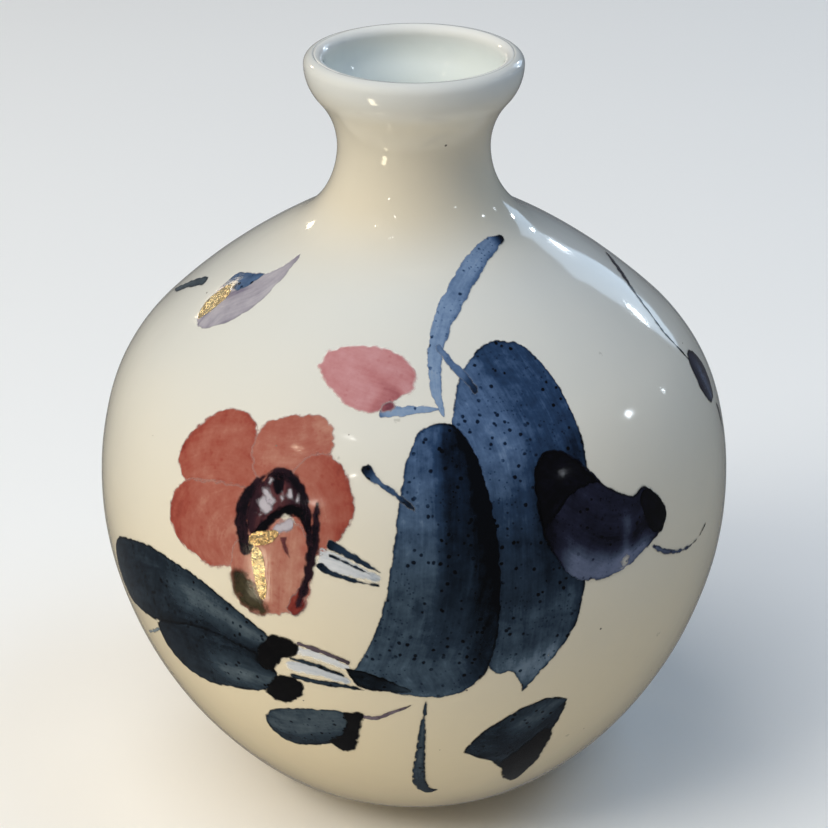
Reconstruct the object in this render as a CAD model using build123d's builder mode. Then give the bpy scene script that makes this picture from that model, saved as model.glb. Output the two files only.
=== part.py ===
"""A two-go sake bottle: a round porcelain belly on a low turned foot, a short waisted neck and a flared
mouth, brush-painted with a red camellia, a bud and broad blue leaves.

The bottle is built up as the potter builds it. A thrown bowl and a thrown dome are bevelled and luted
together at the belly, the neck is luted on the dome, and the foot ring is let into a groove under the
bowl. A glaze skin runs over the outside and over the lip to a second one inside, and a third fills the
recess in the foot, so that only the foot's rim is bare. Each painted motif is a thin layer of enamel
fired on the outer glaze.

Origin: centre of the foot's rim. +Z up along the axis of revolution. The camellia and leaves face -Y.
Lengths are in millimetres. Azimuths are in degrees from the front, positive to the right.
"""

import os
from math import cos, radians, sin

from build123d import *

os.makedirs("parts", exist_ok=True)

# ------------------------------------------------------------------ driving dimensions
# The outside runs up from the foot and the inside runs down from the lip. Each is a chain of tangent arcs,
# given as (radius, turn in degrees, positive to the left).
outside_arcs = [
    (14.0, 43.9),  # underside, turning up from the foot
    (63.9, 32.6),  # lower belly
    (50.9, 29.4),  # belly
    (26.4, 29.8),  # turn of the shoulder
    (97.4, 15.3),  # shoulder
    (14.1, -57.3),  # root of the neck
    (11.2, -45.4),  # neck
    (7.3, 41.7),  # flare of the mouth
]
inside_arcs = [
    (6.7, -36.1),  # mouth
    (15.8, 75.3),  # throat
    (29.7, 23.7),  # under the root of the neck
    (69.5, -8.6),  # under the shoulder
    (32.4, -40.2),  # turn of the shoulder
    (49.1, -39.1),  # belly
    (52.3, -24.0),  # lower belly
    (10.4, -41.0),  # turn on to the floor
]
belly_height = 49.5  # where the body is widest
belly_radius = 48.1
belly_drop = 53.7  # half height of the ellipse that the lower belly nearly follows
shoulder_rise = 43.5  # half height of the ellipse that the shoulder nearly follows
cavity_radius = 44.5  # widest inside
throat_radius = 8.7  # narrowest inside
lip_bead = 1.5  # radius of the rounded lip

foot_radius = 19.2
foot_width = 4.0
foot_side = 2.0  # height of the ring's outer side
foot_recess = 3.2  # depth of the hollow inside the ring
foot_chamfer = 0.7

glaze = 0.3
bare_rim = 1.3  # the glaze is wiped off below this height
enamel = 0.15

bevel = 3.0  # rise of the scarfed edge across a luted joint
neck_joint_height = 93.5
groove_depth = 0.9  # how far the foot ring's tongue enters the bowl
tongue_width = 1.6

reach = 120.0  # past everything, for the shapes that only cut


# ------------------------------------------------------------------ lines of the section
def draw_arcs(start, heading, arcs, depth=0.0):
    """Draw tangent arcs end to end, the line moved to its left by depth. Returns where it ends."""
    place = Vector(start) + Vector(-heading[1], heading[0]) * depth
    tangent = Vector(heading)
    for radius, turn in arcs:
        arc = JernArc(place, tangent, radius - depth if turn > 0 else radius + depth, turn)
        place = arc @ 1
        tangent = arc % 1
    return place


foot_corner = (foot_radius, foot_side)
outward = (1, 0)
upward = (0, 1)
downward = (0, -1)
foot_inner_radius = foot_radius - foot_width
rim_outer = foot_radius - glaze
rim_inner = foot_inner_radius + glaze
ring_top = foot_side + glaze
recess_ceiling = foot_recess + glaze

with BuildLine():
    lip_side = draw_arcs(foot_corner, outward, outside_arcs)
lip_centre = (lip_side.X - lip_bead, lip_side.Y)
lip_inside = (lip_side.X - 2 * lip_bead, lip_side.Y)
lip_height = lip_side.Y + lip_bead
with BuildLine():
    floor_edge = draw_arcs(lip_inside, downward, inside_arcs)

# ------------------------------------------------------------------ section through the porcelain
with BuildSketch(Plane.XZ) as porcelain_section:
    with BuildLine():
        draw_arcs(foot_corner, outward, outside_arcs, glaze)
        CenterArc(lip_centre, lip_bead - glaze, 0, 180)
        draw_arcs(lip_inside, downward, inside_arcs, glaze)
        Polyline(
            (floor_edge.X, floor_edge.Y - glaze),
            (0, floor_edge.Y - glaze),
            (0, recess_ceiling),
            (rim_inner, recess_ceiling),
            (rim_inner, foot_chamfer),
            (rim_inner + foot_chamfer, 0),
            (rim_outer - foot_chamfer, 0),
            (rim_outer, foot_chamfer),
            (rim_outer, ring_top),
            (foot_radius, ring_top),
        )
    make_face()

# ------------------------------------------------------------------ where the luted joints run
with BuildSketch(Plane.XZ) as below_belly_joint:
    with BuildLine():
        Polyline(
            (0, 0),
            (reach, 0),
            (reach, belly_height - bevel / 2),
            (belly_radius, belly_height - bevel / 2),
            (cavity_radius, belly_height + bevel / 2),
            (0, belly_height + bevel / 2),
            close=True,
        )
    make_face()

with BuildSketch(Plane.XZ) as above_neck_joint:
    with BuildLine():
        Polyline(
            (0, reach),
            (reach, reach),
            (reach, neck_joint_height - bevel / 2),
            (lip_side.X, neck_joint_height - bevel / 2),
            (throat_radius + 1, neck_joint_height + bevel / 2),
            (0, neck_joint_height + bevel / 2),
            close=True,
        )
    make_face()

tongue_centre = foot_radius - foot_width / 2
with BuildSketch(Plane.XZ) as foot_ring_outline:
    with BuildLine():
        Polyline(
            (rim_inner, 0),
            (rim_outer, 0),
            (rim_outer, ring_top),
            (tongue_centre + tongue_width / 2, recess_ceiling),
            (tongue_centre + tongue_width / 2, recess_ceiling + groove_depth),
            (tongue_centre - tongue_width / 2, recess_ceiling + groove_depth),
            (tongue_centre - tongue_width / 2, recess_ceiling),
            (rim_inner, recess_ceiling),
            close=True,
        )
    make_face()

# ------------------------------------------------------------------ porcelain pieces
with BuildPart() as foot_ring:
    with BuildSketch(Plane.XZ):
        add(porcelain_section.sketch)
        add(foot_ring_outline.sketch, mode=Mode.INTERSECT)
    revolve(axis=Axis.Z)
foot_ring.part.label = "foot_ring"
export_step(foot_ring.part, "parts/foot_ring.step")

with BuildPart() as lower_body:
    with BuildSketch(Plane.XZ):
        add(porcelain_section.sketch)
        add(below_belly_joint.sketch, mode=Mode.INTERSECT)
        add(foot_ring_outline.sketch, mode=Mode.SUBTRACT)
    revolve(axis=Axis.Z)
lower_body.part.label = "lower_body"
export_step(lower_body.part, "parts/lower_body.step")

with BuildPart() as upper_body:
    with BuildSketch(Plane.XZ):
        add(porcelain_section.sketch)
        add(below_belly_joint.sketch, mode=Mode.SUBTRACT)
        add(above_neck_joint.sketch, mode=Mode.SUBTRACT)
    revolve(axis=Axis.Z)
upper_body.part.label = "upper_body"
export_step(upper_body.part, "parts/upper_body.step")

with BuildPart() as neck:
    with BuildSketch(Plane.XZ):
        add(porcelain_section.sketch)
        add(above_neck_joint.sketch, mode=Mode.INTERSECT)
    revolve(axis=Axis.Z)
neck.part.label = "neck"
export_step(neck.part, "parts/neck.step")

# ------------------------------------------------------------------ glaze skins
# The outer and inner skins meet on the crest of the lip.
with BuildPart() as outer_glaze:
    with BuildSketch(Plane.XZ):
        with BuildLine():
            draw_arcs(foot_corner, outward, outside_arcs)
            draw_arcs(foot_corner, outward, outside_arcs, glaze)
            CenterArc(lip_centre, lip_bead, 0, 90)
            CenterArc(lip_centre, lip_bead - glaze, 0, 90)
            Line((lip_centre[0], lip_height), (lip_centre[0], lip_height - glaze))
            Polyline(
                foot_corner,
                (foot_radius, bare_rim),
                (rim_outer, bare_rim),
                (rim_outer, ring_top),
                (foot_radius, ring_top),
            )
        make_face()
    revolve(axis=Axis.Z)
outer_glaze.part.label = "outer_glaze"
export_step(outer_glaze.part, "parts/outer_glaze.step")

with BuildPart() as inner_glaze:
    with BuildSketch(Plane.XZ):
        with BuildLine():
            draw_arcs(lip_inside, downward, inside_arcs)
            draw_arcs(lip_inside, downward, inside_arcs, glaze)
            CenterArc(lip_centre, lip_bead, 90, 90)
            CenterArc(lip_centre, lip_bead - glaze, 90, 90)
            Line((lip_centre[0], lip_height), (lip_centre[0], lip_height - glaze))
            Polyline(
                floor_edge,
                (0, floor_edge.Y),
                (0, floor_edge.Y - glaze),
                (floor_edge.X, floor_edge.Y - glaze),
            )
        make_face()
    revolve(axis=Axis.Z)
inner_glaze.part.label = "inner_glaze"
export_step(inner_glaze.part, "parts/inner_glaze.step")

with BuildPart() as base_glaze:
    with BuildSketch(Plane.XZ):
        with BuildLine():
            Polyline(
                (0, foot_recess),
                (foot_inner_radius, foot_recess),
                (foot_inner_radius, bare_rim),
                (rim_inner, bare_rim),
                (rim_inner, recess_ceiling),
                (0, recess_ceiling),
                close=True,
            )
        make_face()
    revolve(axis=Axis.Z)
base_glaze.part.label = "base_glaze"
export_step(base_glaze.part, "parts/base_glaze.step")

# ------------------------------------------------------------------ painted motifs
# Each motif is drawn on the plane that faces it and laid on the glaze as a thin curved layer. A motif
# that lies over others comes first in the lists, and those under it are cut back to its edge.
painted_arcs = outside_arcs[:6]
with BuildPart() as enamel_layer:
    with BuildSketch(Plane.XZ):
        with BuildLine():
            inner_end = draw_arcs(foot_corner, outward, painted_arcs)
            outer_end = draw_arcs(foot_corner, outward, painted_arcs, -enamel)
            Line(foot_corner, (foot_radius, foot_side - enamel))
            Line(inner_end, outer_end)
        make_face()
    revolve(axis=Axis.Z)


def on_glaze(azimuth, height, facing):
    """Where a spot on the glaze appears on the plane that faces the motif."""
    half_height = belly_drop if height < belly_height else shoulder_rise
    radius = belly_radius * (1 - ((height - belly_height) / half_height) ** 2) ** 0.5
    return (radius * sin(radians(azimuth - facing)), height)


def facing_plane(azimuth):
    """An upright plane through the axis, looking outward at this azimuth."""
    turn = radians(azimuth)
    return Plane(origin=(0, 0, 0), x_dir=(cos(turn), sin(turn), 0), z_dir=(sin(turn), -cos(turn), 0))


# name: (azimuth it faces, edges of the outline). An outline of one edge is smooth all the way round.
washes = {
    "camellia_gilding": (
        -26,
        [
            [
                (-27.0, 60.5), (-26.4, 55.5), (-26.6, 51.2), (-25.0, 51.0), (-24.6, 55.5),
                (-24.9, 60.5),
            ],
        ],
    ),
    "camellia_heart": (
        -24,
        [
            [
                (-28.5, 59.0), (-30.0, 64.0), (-28.0, 68.0), (-24.0, 69.7), (-19.8, 68.2),
                (-18.0, 64.0), (-18.6, 59.3),
            ],
        ],
    ),
    "camellia_petal_top_left": (
        -38,
        [
            [
                (-29.0, 70.0), (-32.0, 74.0), (-38.0, 74.7), (-45.0, 72.7), (-48.0, 68.5),
                (-45.0, 65.4), (-38.0, 65.3), (-31.8, 66.4),
            ],
        ],
    ),
    "camellia_petal_top_right": (
        -23,
        [
            [
                (-29.8, 72.5), (-27.8, 75.3), (-22.3, 76.0), (-16.3, 75.3), (-15.4, 73.2),
                (-20.0, 71.5), (-26.0, 70.9),
            ],
        ],
    ),
    "camellia_petal_right": (
        -14,
        [
            [
                (-18.6, 70.4), (-14.3, 71.4), (-10.4, 68.6), (-10.0, 64.8), (-12.0, 60.6),
                (-15.4, 58.2), (-16.7, 62.0), (-16.8, 66.5),
            ],
        ],
    ),
    "camellia_petal_left": (
        -38,
        [
            [
                (-31.4, 64.2), (-37.0, 63.9), (-44.2, 62.6), (-46.8, 58.3), (-44.2, 54.6),
                (-38.4, 52.9), (-32.2, 54.6), (-30.4, 59.5),
            ],
        ],
    ),
    "camellia_petal_bottom": (
        -24,
        [
            [
                (-29.2, 57.4), (-31.0, 51.7), (-29.0, 48.7), (-24.3, 48.9), (-19.3, 50.5),
                (-17.2, 55.0), (-18.0, 57.6), (-23.5, 58.2),
            ],
        ],
    ),
    "camellia_bud": (
        -11,
        [
            [
                (-23.4, 80.4), (-20.0, 82.4), (-12.4, 83.0), (-4.6, 82.2), (0.3, 80.4), (-1.6, 78.7),
                (-6.6, 77.3), (-12.8, 76.6), (-19.0, 78.0),
            ],
        ],
    ),
    "front_leaf": (
        0,
        [
            [
                (5.3, 75.4), (-0.6, 73.6), (-3.4, 66.0), (-5.2, 54.0), (-9.8, 41.6),
            ],
            [
                (-9.8, 41.6), (-3.0, 38.2), (4.0, 37.2), (10.6, 39.4), (13.8, 46.0), (14.9, 58.0),
                (12.8, 71.0), (5.3, 75.4),
            ],
        ],
    ),
    "dark_petal": (
        34,
        [
            [
                (21.3, 66.6), (23.6, 70.8), (28.5, 71.3), (34.2, 66.0), (42.6, 62.4), (46.6, 62.6),
                (49.2, 58.6), (45.2, 55.0), (37.6, 52.8), (30.0, 53.6), (23.6, 59.0),
            ],
        ],
    ),
    "back_leaf": (
        22,
        [
            [
                (8.5, 77.6), (13.0, 81.2), (21.0, 83.0), (31.0, 81.8), (34.4, 77.0), (33.0, 69.0),
                (30.6, 57.0), (28.8, 47.0), (19.6, 35.8),
            ],
            [
                (19.6, 35.8), (14.8, 43.0), (16.0, 58.0), (14.4, 71.5), (8.5, 77.6),
            ],
        ],
    ),
    "upper_side_leaf": (
        -43,
        [
            [
                (-65.0, 49.3), (-49.0, 53.0), (-35.5, 50.4), (-26.5, 46.4), (-21.4, 42.6),
            ],
            [
                (-21.4, 42.6), (-29.0, 41.2), (-42.0, 41.0), (-56.0, 42.2), (-65.0, 49.3),
            ],
        ],
    ),
    "lower_side_leaf": (
        -37,
        [
            [
                (-51.0, 37.4), (-41.0, 40.2), (-29.5, 39.9), (-21.8, 36.2),
            ],
            [
                (-21.8, 36.2), (-27.5, 32.8), (-36.5, 31.8), (-46.0, 32.7), (-51.0, 37.4),
            ],
        ],
    ),
    "small_leaf": (
        -19,
        [
            [
                (-29.0, 28.6), (-21.4, 32.2), (-12.0, 33.6), (-9.2, 32.0), (-9.8, 25.6), (-16.4, 24.4),
                (-25.6, 24.2),
            ],
        ],
    ),
    "low_leaf": (
        20,
        [
            [
                (9.4, 23.8), (15.8, 30.8), (23.8, 33.3), (29.2, 31.4),
            ],
            [
                (29.2, 31.4), (29.0, 26.0), (26.8, 19.6), (25.8, 12.8),
            ],
            [
                (25.8, 12.8), (18.6, 19.6), (9.4, 23.8),
            ],
        ],
    ),
    "shoulder_leaf_gilding": (
        -62,
        [
            [
                (-50.5, 86.6), (-56.0, 89.3), (-65.0, 87.6), (-73.0, 84.8),
            ],
            [
                (-73.0, 84.8), (-70.0, 82.6), (-61.0, 84.6), (-50.5, 86.6),
            ],
        ],
    ),
    "shoulder_leaf": (
        -62,
        [
            [
                (-49.6, 85.8), (-60.5, 84.0), (-72.5, 81.4),
            ],
            [
                (-72.5, 81.4), (-66.0, 79.2), (-57.0, 80.8), (-49.6, 85.8),
            ],
        ],
    ),
    "back_shoulder_leaf": (
        -92,
        [
            [
                (-101.0, 76.0), (-92.5, 80.6), (-82.5, 82.2),
            ],
            [
                (-82.5, 82.2), (-88.0, 77.8), (-101.0, 76.0),
            ],
        ],
    ),
    "twig_blossom": (
        79,
        [
            [
                (77.8, 72.4), (83.6, 70.6), (82.4, 67.2), (77.6, 65.2), (73.8, 68.6),
            ],
        ],
    ),
}

# name: (azimuth it faces, width, centre lines)
strokes = {
    "stem": (
        20,
        1.5,
        [
            [
                (52.0, 91.2), (34.0, 91.0), (17.0, 88.4), (8.4, 85.0), (5.0, 81.0), (6.0, 76.4),
            ],
            [
                (6.0, 83.2), (9.4, 81.4), (13.4, 79.0),
            ],
        ],
    ),
    "bud_stalk": (
        0,
        1.3,
        [
            [
                (-8.0, 76.2), (-1.0, 77.0), (4.6, 76.8),
            ],
        ],
    ),
    "flower_spur": (
        -5,
        1.1,
        [
            [
                (-8.9, 71.4), (-6.8, 69.4), (-2.0, 66.9),
            ],
        ],
    ),
    "flower_stalk": (
        -12,
        2.2,
        [
            [
                (-18.0, 59.0), (-12.0, 57.0), (-3.6, 54.4),
            ],
        ],
    ),
    "upper_side_stem": (
        -14,
        1.0,
        [
            [
                (-21.4, 43.4), (-14.2, 42.8), (-6.8, 40.2),
            ],
        ],
    ),
    "lower_side_stem": (
        -14,
        1.0,
        [
            [
                (-21.8, 40.2), (-14.4, 39.5), (-4.6, 38.4),
            ],
        ],
    ),
    "small_leaf_stem": (
        -5,
        0.8,
        [
            [
                (-9.6, 32.4), (-5.2, 33.4), (0.6, 36.2),
            ],
        ],
    ),
    "bottom_stem": (
        2,
        1.2,
        [
            [
                (2.2, 37.2), (1.0, 28.4), (0.6, 19.2), (2.2, 14.2), (5.6, 14.6),
            ],
        ],
    ),
    "tendril": (
        53,
        1.0,
        [
            [
                (41.5, 54.6), (49.4, 51.6), (56.9, 50.3), (62.5, 51.3),
            ],
        ],
    ),
    "twig": (
        88,
        0.9,
        [
            [
                (103.0, 82.6), (89.0, 81.4), (80.6, 79.2), (76.2, 76.4), (75.8, 73.6), (78.0, 70.6),
            ],
        ],
    ),
    "twig_bud": (
        80,
        1.2,
        [
            [
                (80.2, 64.0), (81.0, 61.6), (80.6, 59.4),
            ],
        ],
    ),
}

laid = []
for name, (azimuth, edges) in washes.items():
    with BuildPart() as wash:
        with BuildSketch(facing_plane(azimuth)):
            with BuildLine():
                for edge in edges:
                    Spline([on_glaze(*spot, azimuth) for spot in edge], periodic=len(edges) == 1)
            make_face()
        extrude(amount=reach)
        add(enamel_layer.part, mode=Mode.INTERSECT)
        for above in laid:
            add(above, mode=Mode.SUBTRACT)
    wash.part.label = name
    export_step(wash.part, f"parts/{name}.step")
    laid.append(wash.part)

for name, (azimuth, width, centre_lines) in strokes.items():
    with BuildPart() as stroke:
        with BuildSketch(facing_plane(azimuth)):
            with BuildLine():
                for centre_line in centre_lines:
                    Spline([on_glaze(*spot, azimuth) for spot in centre_line])
            trace(line_width=width)
        extrude(amount=reach)
        add(enamel_layer.part, mode=Mode.INTERSECT)
        for above in laid:
            add(above, mode=Mode.SUBTRACT)
    stroke.part.label = name
    export_step(stroke.part, f"parts/{name}.step")
    laid.append(stroke.part)
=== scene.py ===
from math import cos, pi, radians, sin

import bmesh
import bpy
import numpy as np
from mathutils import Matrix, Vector


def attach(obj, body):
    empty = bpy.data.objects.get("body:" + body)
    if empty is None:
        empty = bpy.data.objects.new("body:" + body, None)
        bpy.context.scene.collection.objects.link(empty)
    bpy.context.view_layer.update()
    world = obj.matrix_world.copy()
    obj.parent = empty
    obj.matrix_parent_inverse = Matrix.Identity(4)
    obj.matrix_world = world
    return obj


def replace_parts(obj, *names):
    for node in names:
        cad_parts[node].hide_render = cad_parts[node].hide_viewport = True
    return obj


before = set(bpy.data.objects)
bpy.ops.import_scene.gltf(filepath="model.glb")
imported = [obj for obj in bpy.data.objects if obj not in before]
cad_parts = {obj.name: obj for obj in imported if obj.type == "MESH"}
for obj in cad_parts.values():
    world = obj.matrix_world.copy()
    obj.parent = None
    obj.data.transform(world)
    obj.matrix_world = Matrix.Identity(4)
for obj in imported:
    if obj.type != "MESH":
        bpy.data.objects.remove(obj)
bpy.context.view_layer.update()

# The finish of a sake bottle: glaze skins lathed to the thrown outline, and a camellia spray laid on the
# glaze one brush stroke at a time. Sizes are in millimetres until MM turns them into the frame's metres,
# and azimuths in degrees from the front, positive to the right.

# ---------------------------------------------------------------- porcelain
# The four thrown sections, luted with slip and fired as one. The clay shows bare only on the foot's rim,
# where it is a matt, slightly sandy white turned grey-buff by the kiln shelf.


class Wire:
    """An output socket of a node tree. Arithmetic on it adds Math nodes to the tree."""

    def __init__(self, tree, socket=None):
        self.tree = tree
        self.socket = socket

    def node(self, kind, settings=None, inputs=None, output=0):
        """Add a node: its settings first, then its sockets' values or links. Gives one of its outputs."""
        made = self.tree.nodes.new(kind)
        for name, value in (settings or {}).items():
            if name == "stops":
                stops = made.color_ramp.elements
                while len(stops) < len(value):
                    stops.new(1.0)
                for stop, (place, colour) in zip(stops, value):
                    stop.position = place
                    stop.color = (*colour, 1.0)
            else:
                setattr(made, name, value)
        for name, value in (inputs or {}).items():
            if isinstance(value, Wire):
                self.tree.links.new(value.socket, made.inputs[name])
            else:
                made.inputs[name].default_value = value
        return Wire(self.tree, made.outputs[output] if len(made.outputs) else None)

    def parts(self):
        """The x, y and z of a vector."""
        made = self.tree.nodes.new("ShaderNodeSeparateXYZ")
        self.tree.links.new(self.socket, made.inputs[0])
        return [Wire(self.tree, socket) for socket in made.outputs]

    def reckon(self, operation, *values):
        return self.node("ShaderNodeMath", {"operation": operation}, dict(enumerate(values)))

    def __add__(self, other):
        return self.reckon("ADD", self, other)

    __radd__ = __add__

    def __sub__(self, other):
        return self.reckon("SUBTRACT", self, other)

    def __rsub__(self, other):
        return self.reckon("SUBTRACT", other, self)

    def __mul__(self, other):
        return self.reckon("MULTIPLY", self, other)

    __rmul__ = __mul__

    def rise(self, low, high):
        """0 below low, 1 above high, smooth between. low may be above high."""
        settings = {"interpolation_type": "SMOOTHSTEP"}
        inputs = {"Value": self, "From Min": low, "From Max": high}
        return self.node("ShaderNodeMapRange", settings, inputs)

    def blend(self, start, end):
        """Colour start where this is 0 and end where it is 1."""
        inputs = {0: self, 6: start, 7: end}
        return self.node("ShaderNodeMix", {"data_type": "RGBA"}, inputs, output=2)

    def noise(self, vector, scale, detail=2.0, roughness=0.5):
        inputs = {"Vector": vector, "Scale": scale, "Detail": detail, "Roughness": roughness}
        return self.node("ShaderNodeTexNoise", None, inputs)


def rgba(red, green, blue):
    return (red, green, blue, 1.0)


def finish(name):
    """A new material and a wire into its empty tree."""
    material = bpy.data.materials.new(name)
    material.use_nodes = True
    material.node_tree.nodes.clear()
    return material, Wire(material.node_tree)


def surface(pen, sockets):
    """Close the material with one Principled shader."""
    shader = pen.node("ShaderNodeBsdfPrincipled", None, sockets)
    pen.node("ShaderNodeOutputMaterial", None, {"Surface": shader})


def bare_porcelain():
    material, pen = finish("bare_porcelain")
    place = pen.node("ShaderNodeTexCoord", output="Object")
    clouds = pen.noise(place, 90.0, 4.0)
    sand = pen.noise(place, 2600.0, 3.0, 0.7)
    warm = clouds.rise(0.35, 0.7).blend(rgba(0.74, 0.71, 0.64), rgba(0.62, 0.55, 0.45))
    colour = (sand.rise(0.62, 0.74) * 0.5).blend(warm, rgba(0.40, 0.31, 0.22))
    bump = pen.node("ShaderNodeBump", None, {"Strength": 0.35, "Distance": 0.0001, "Height": sand})
    surface(pen, {"Base Color": colour, "Roughness": sand * 0.25 + 0.55, "Normal": bump})
    return material


clay = bare_porcelain()
for piece in ("lower_body", "upper_body", "neck", "foot_ring"):
    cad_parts[piece].data.materials.clear()
    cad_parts[piece].data.materials.append(clay)

# ---------------------------------------------------------------- outer glaze
# A clear felspathic glaze over white clay, poured on and fired glossy. It lies a third of a millimetre
# thick and ends in a wiped edge just above the rim. Its colour creams towards the foot as a painted
# warm reflection of the table below, and turns a little creamier round the neck.
MM = 0.001
glaze = 0.3
foot_radius = 19.2
foot_side = 2.0
bare_rim = 1.3
lip_bead = 1.5
outside_arcs = [
    (14.0, 43.9),
    (63.9, 32.6),
    (50.9, 29.4),
    (26.4, 29.8),
    (97.4, 15.3),
    (14.1, -57.3),
    (11.2, -45.4),
    (7.3, 41.7),
]


def trace_arcs(start, heading, arcs, depth=0.0, step=0.8):
    """Points along tangent arcs of (radius, turn in degrees), the line moved to its left by depth."""
    x, y = start
    angle = radians(heading)
    points = [(x - depth * sin(angle), y + depth * cos(angle))]
    for radius, turn in arcs:
        side = 1 if turn > 0 else -1
        centre = (x - side * radius * sin(angle), y + side * radius * cos(angle))
        pieces = max(4, round(radius * radians(abs(turn)) / step))
        for piece in range(1, pieces + 1):
            here = angle + radians(turn) * piece / pieces
            reach = side * radius - depth
            points.append((centre[0] + reach * sin(here), centre[1] - reach * cos(here)))
        angle += radians(turn)
        x = centre[0] + side * radius * sin(angle)
        y = centre[1] - side * radius * cos(angle)
    return points


def trace_lip(radius, start, end):
    """Points round the lip's bead from one angle to another, without its ends."""
    turns = [radians(start + (end - start) * step / 8) for step in range(1, 8)]
    return [(lip_centre[0] + radius * cos(turn), lip_centre[1] + radius * sin(turn)) for turn in turns]


outside = trace_arcs((foot_radius, foot_side), 0, outside_arcs)
lip_side = outside[-1]
lip_centre = (lip_side[0] - lip_bead, lip_side[1])
lip_height = lip_side[1] + lip_bead


def lathe_tree():
    """Spin a line of points in the XZ plane round the Z axis, then let the wheel's unevenness in."""
    tree = bpy.data.node_groups.new("lathe", "GeometryNodeTree")
    for name, kind in (
        ("Geometry", "NodeSocketGeometry"),
        ("Turns", "NodeSocketInt"),
        ("Unevenness", "NodeSocketFloat"),
        ("Glaze", "NodeSocketMaterial"),
    ):
        tree.interface.new_socket(name, in_out="INPUT", socket_type=kind)
    tree.interface.new_socket("Geometry", in_out="OUTPUT", socket_type="NodeSocketGeometry")
    pen = Wire(tree)
    given = tree.nodes.new("NodeGroupInput")
    line, turns, unevenness, material = (Wire(tree, given.outputs[place]) for place in range(4))
    rows = pen.node("GeometryNodeAttributeDomainSize", None, {"Geometry": line})
    sheet = pen.node(
        "GeometryNodeMeshGrid",
        None,
        {"Size X": 1.0, "Size Y": 1.0, "Vertices X": turns + 1, "Vertices Y": rows},
    )
    across, down, _ = pen.node("GeometryNodeInputPosition").parts()
    row = pen.reckon("ROUND", (down + 0.5) * (rows - 1))
    sample = pen.node(
        "GeometryNodeSampleIndex",
        {"data_type": "FLOAT_VECTOR"},
        {"Geometry": line, "Value": pen.node("GeometryNodeInputPosition"), "Index": row},
    )
    radius, _, height = sample.parts()
    turn = (across + 0.5) * (2 * pi)
    spot = pen.node(
        "ShaderNodeCombineXYZ",
        None,
        {0: radius * pen.reckon("COSINE", turn), 1: radius * pen.reckon("SINE", turn), 2: height},
    )
    spun = pen.node("GeometryNodeSetPosition", None, {"Geometry": sheet, "Position": spot})
    closed = pen.node("GeometryNodeMergeByDistance", None, {"Geometry": spun, "Distance": 1e-6})
    place = pen.node("GeometryNodeInputPosition")
    swell = pen.noise(place, 45.0, 1.0) + pen.noise(place, 160.0, 1.0) * 0.35 - 0.67
    lift = pen.node(
        "ShaderNodeVectorMath",
        {"operation": "SCALE"},
        {0: pen.node("GeometryNodeInputNormal"), "Scale": swell * unevenness},
    )
    thrown = pen.node("GeometryNodeSetPosition", None, {"Geometry": closed, "Offset": lift})
    smooth = pen.node("GeometryNodeSetShadeSmooth", None, {"Geometry": thrown})
    real = pen.node("GeometryNodeRealizeInstances", None, {"Geometry": smooth})
    done = pen.node("GeometryNodeSetMaterial", None, {"Geometry": real, "Material": material})
    pen.node("NodeGroupOutput", None, {0: done})
    return tree


def set_inputs(modifier, **values):
    """Set a modifier's named inputs through their sockets' identifiers."""
    for item in modifier.node_group.interface.items_tree:
        if item.in_out == "INPUT" and item.name in values:
            modifier[item.identifier] = values[item.name]


def settle(piece):
    """Turn a piece with its node tree into a plain mesh."""
    seen = piece.evaluated_get(bpy.context.evaluated_depsgraph_get())
    mesh = bpy.data.meshes.new_from_object(seen)
    piece.modifiers.clear()
    piece.data = mesh
    mesh.name = piece.name
    return piece


def point_outwards(piece):
    """Turn a closed shell's faces outwards."""
    shell = bmesh.new()
    shell.from_mesh(piece.data)
    bmesh.ops.recalc_face_normals(shell, faces=shell.faces)
    if shell.calc_volume(signed=True) < 0:
        bmesh.ops.reverse_faces(shell, faces=shell.faces)
    shell.to_mesh(piece.data)
    shell.free()


lathe = lathe_tree()


def spin(name, line, material, turns=288, unevenness=0.0):
    """A glaze skin from its closed section line in millimetres."""
    mesh = bpy.data.meshes.new(name)
    verts = [(radius * MM, 0.0, height * MM) for radius, height in line]
    mesh.from_pydata(verts, [(place, place + 1) for place in range(len(line) - 1)], [])
    piece = bpy.data.objects.new(name, mesh)
    bpy.context.scene.collection.objects.link(piece)
    wheel = piece.modifiers.new("lathe", "NODES")
    wheel.node_group = lathe
    set_inputs(wheel, Turns=turns, Unevenness=unevenness * MM, Glaze=material)
    settle(piece)
    point_outwards(piece)
    return piece


def clear_glaze():
    material, pen = finish("clear_glaze")
    place = pen.node("ShaderNodeTexCoord", output="Object")
    height = place.parts()[2]
    drift = pen.noise(place, 22.0, 3.0)
    milk = drift.rise(0.3, 0.7).blend(rgba(0.640, 0.640, 0.605), rgba(0.610, 0.625, 0.605))
    # Painted reflection: the glaze creams towards the foot, standing in for warm light thrown up from the
    # table.
    painted_table_reflection = (height + drift * 0.012).rise(0.106, 0.018)
    buff = height.rise(0.086, 0.097) * height.rise(0.115, 0.108)
    cream = (painted_table_reflection + buff * 0.55).blend(milk, rgba(0.70, 0.59, 0.395))
    iron = pen.node("ShaderNodeTexVoronoi", {"feature": "F1"}, {"Vector": place, "Scale": 95.0})
    ash = pen.noise(place, 1400.0, 2.0)
    speck = iron.rise(0.055, 0.03) * (ash.rise(0.45, 0.6) * 0.35)
    colour = speck.blend(cream, rgba(0.20, 0.19, 0.16))
    orange_peel = pen.noise(place, 420.0, 2.0) + pen.noise(place, 1500.0, 1.0) * 0.15
    bump = pen.node(
        "ShaderNodeBump", None, {"Strength": 0.07, "Distance": 0.0002, "Height": orange_peel}
    )
    surface(
        pen,
        {
            "Base Color": colour,
            "Roughness": drift * 0.05 + 0.07,
            "IOR": 1.52,
            "Coat Weight": 0.35,
            "Coat Roughness": 0.04,
            "Normal": bump,
        },
    )
    return material


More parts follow.
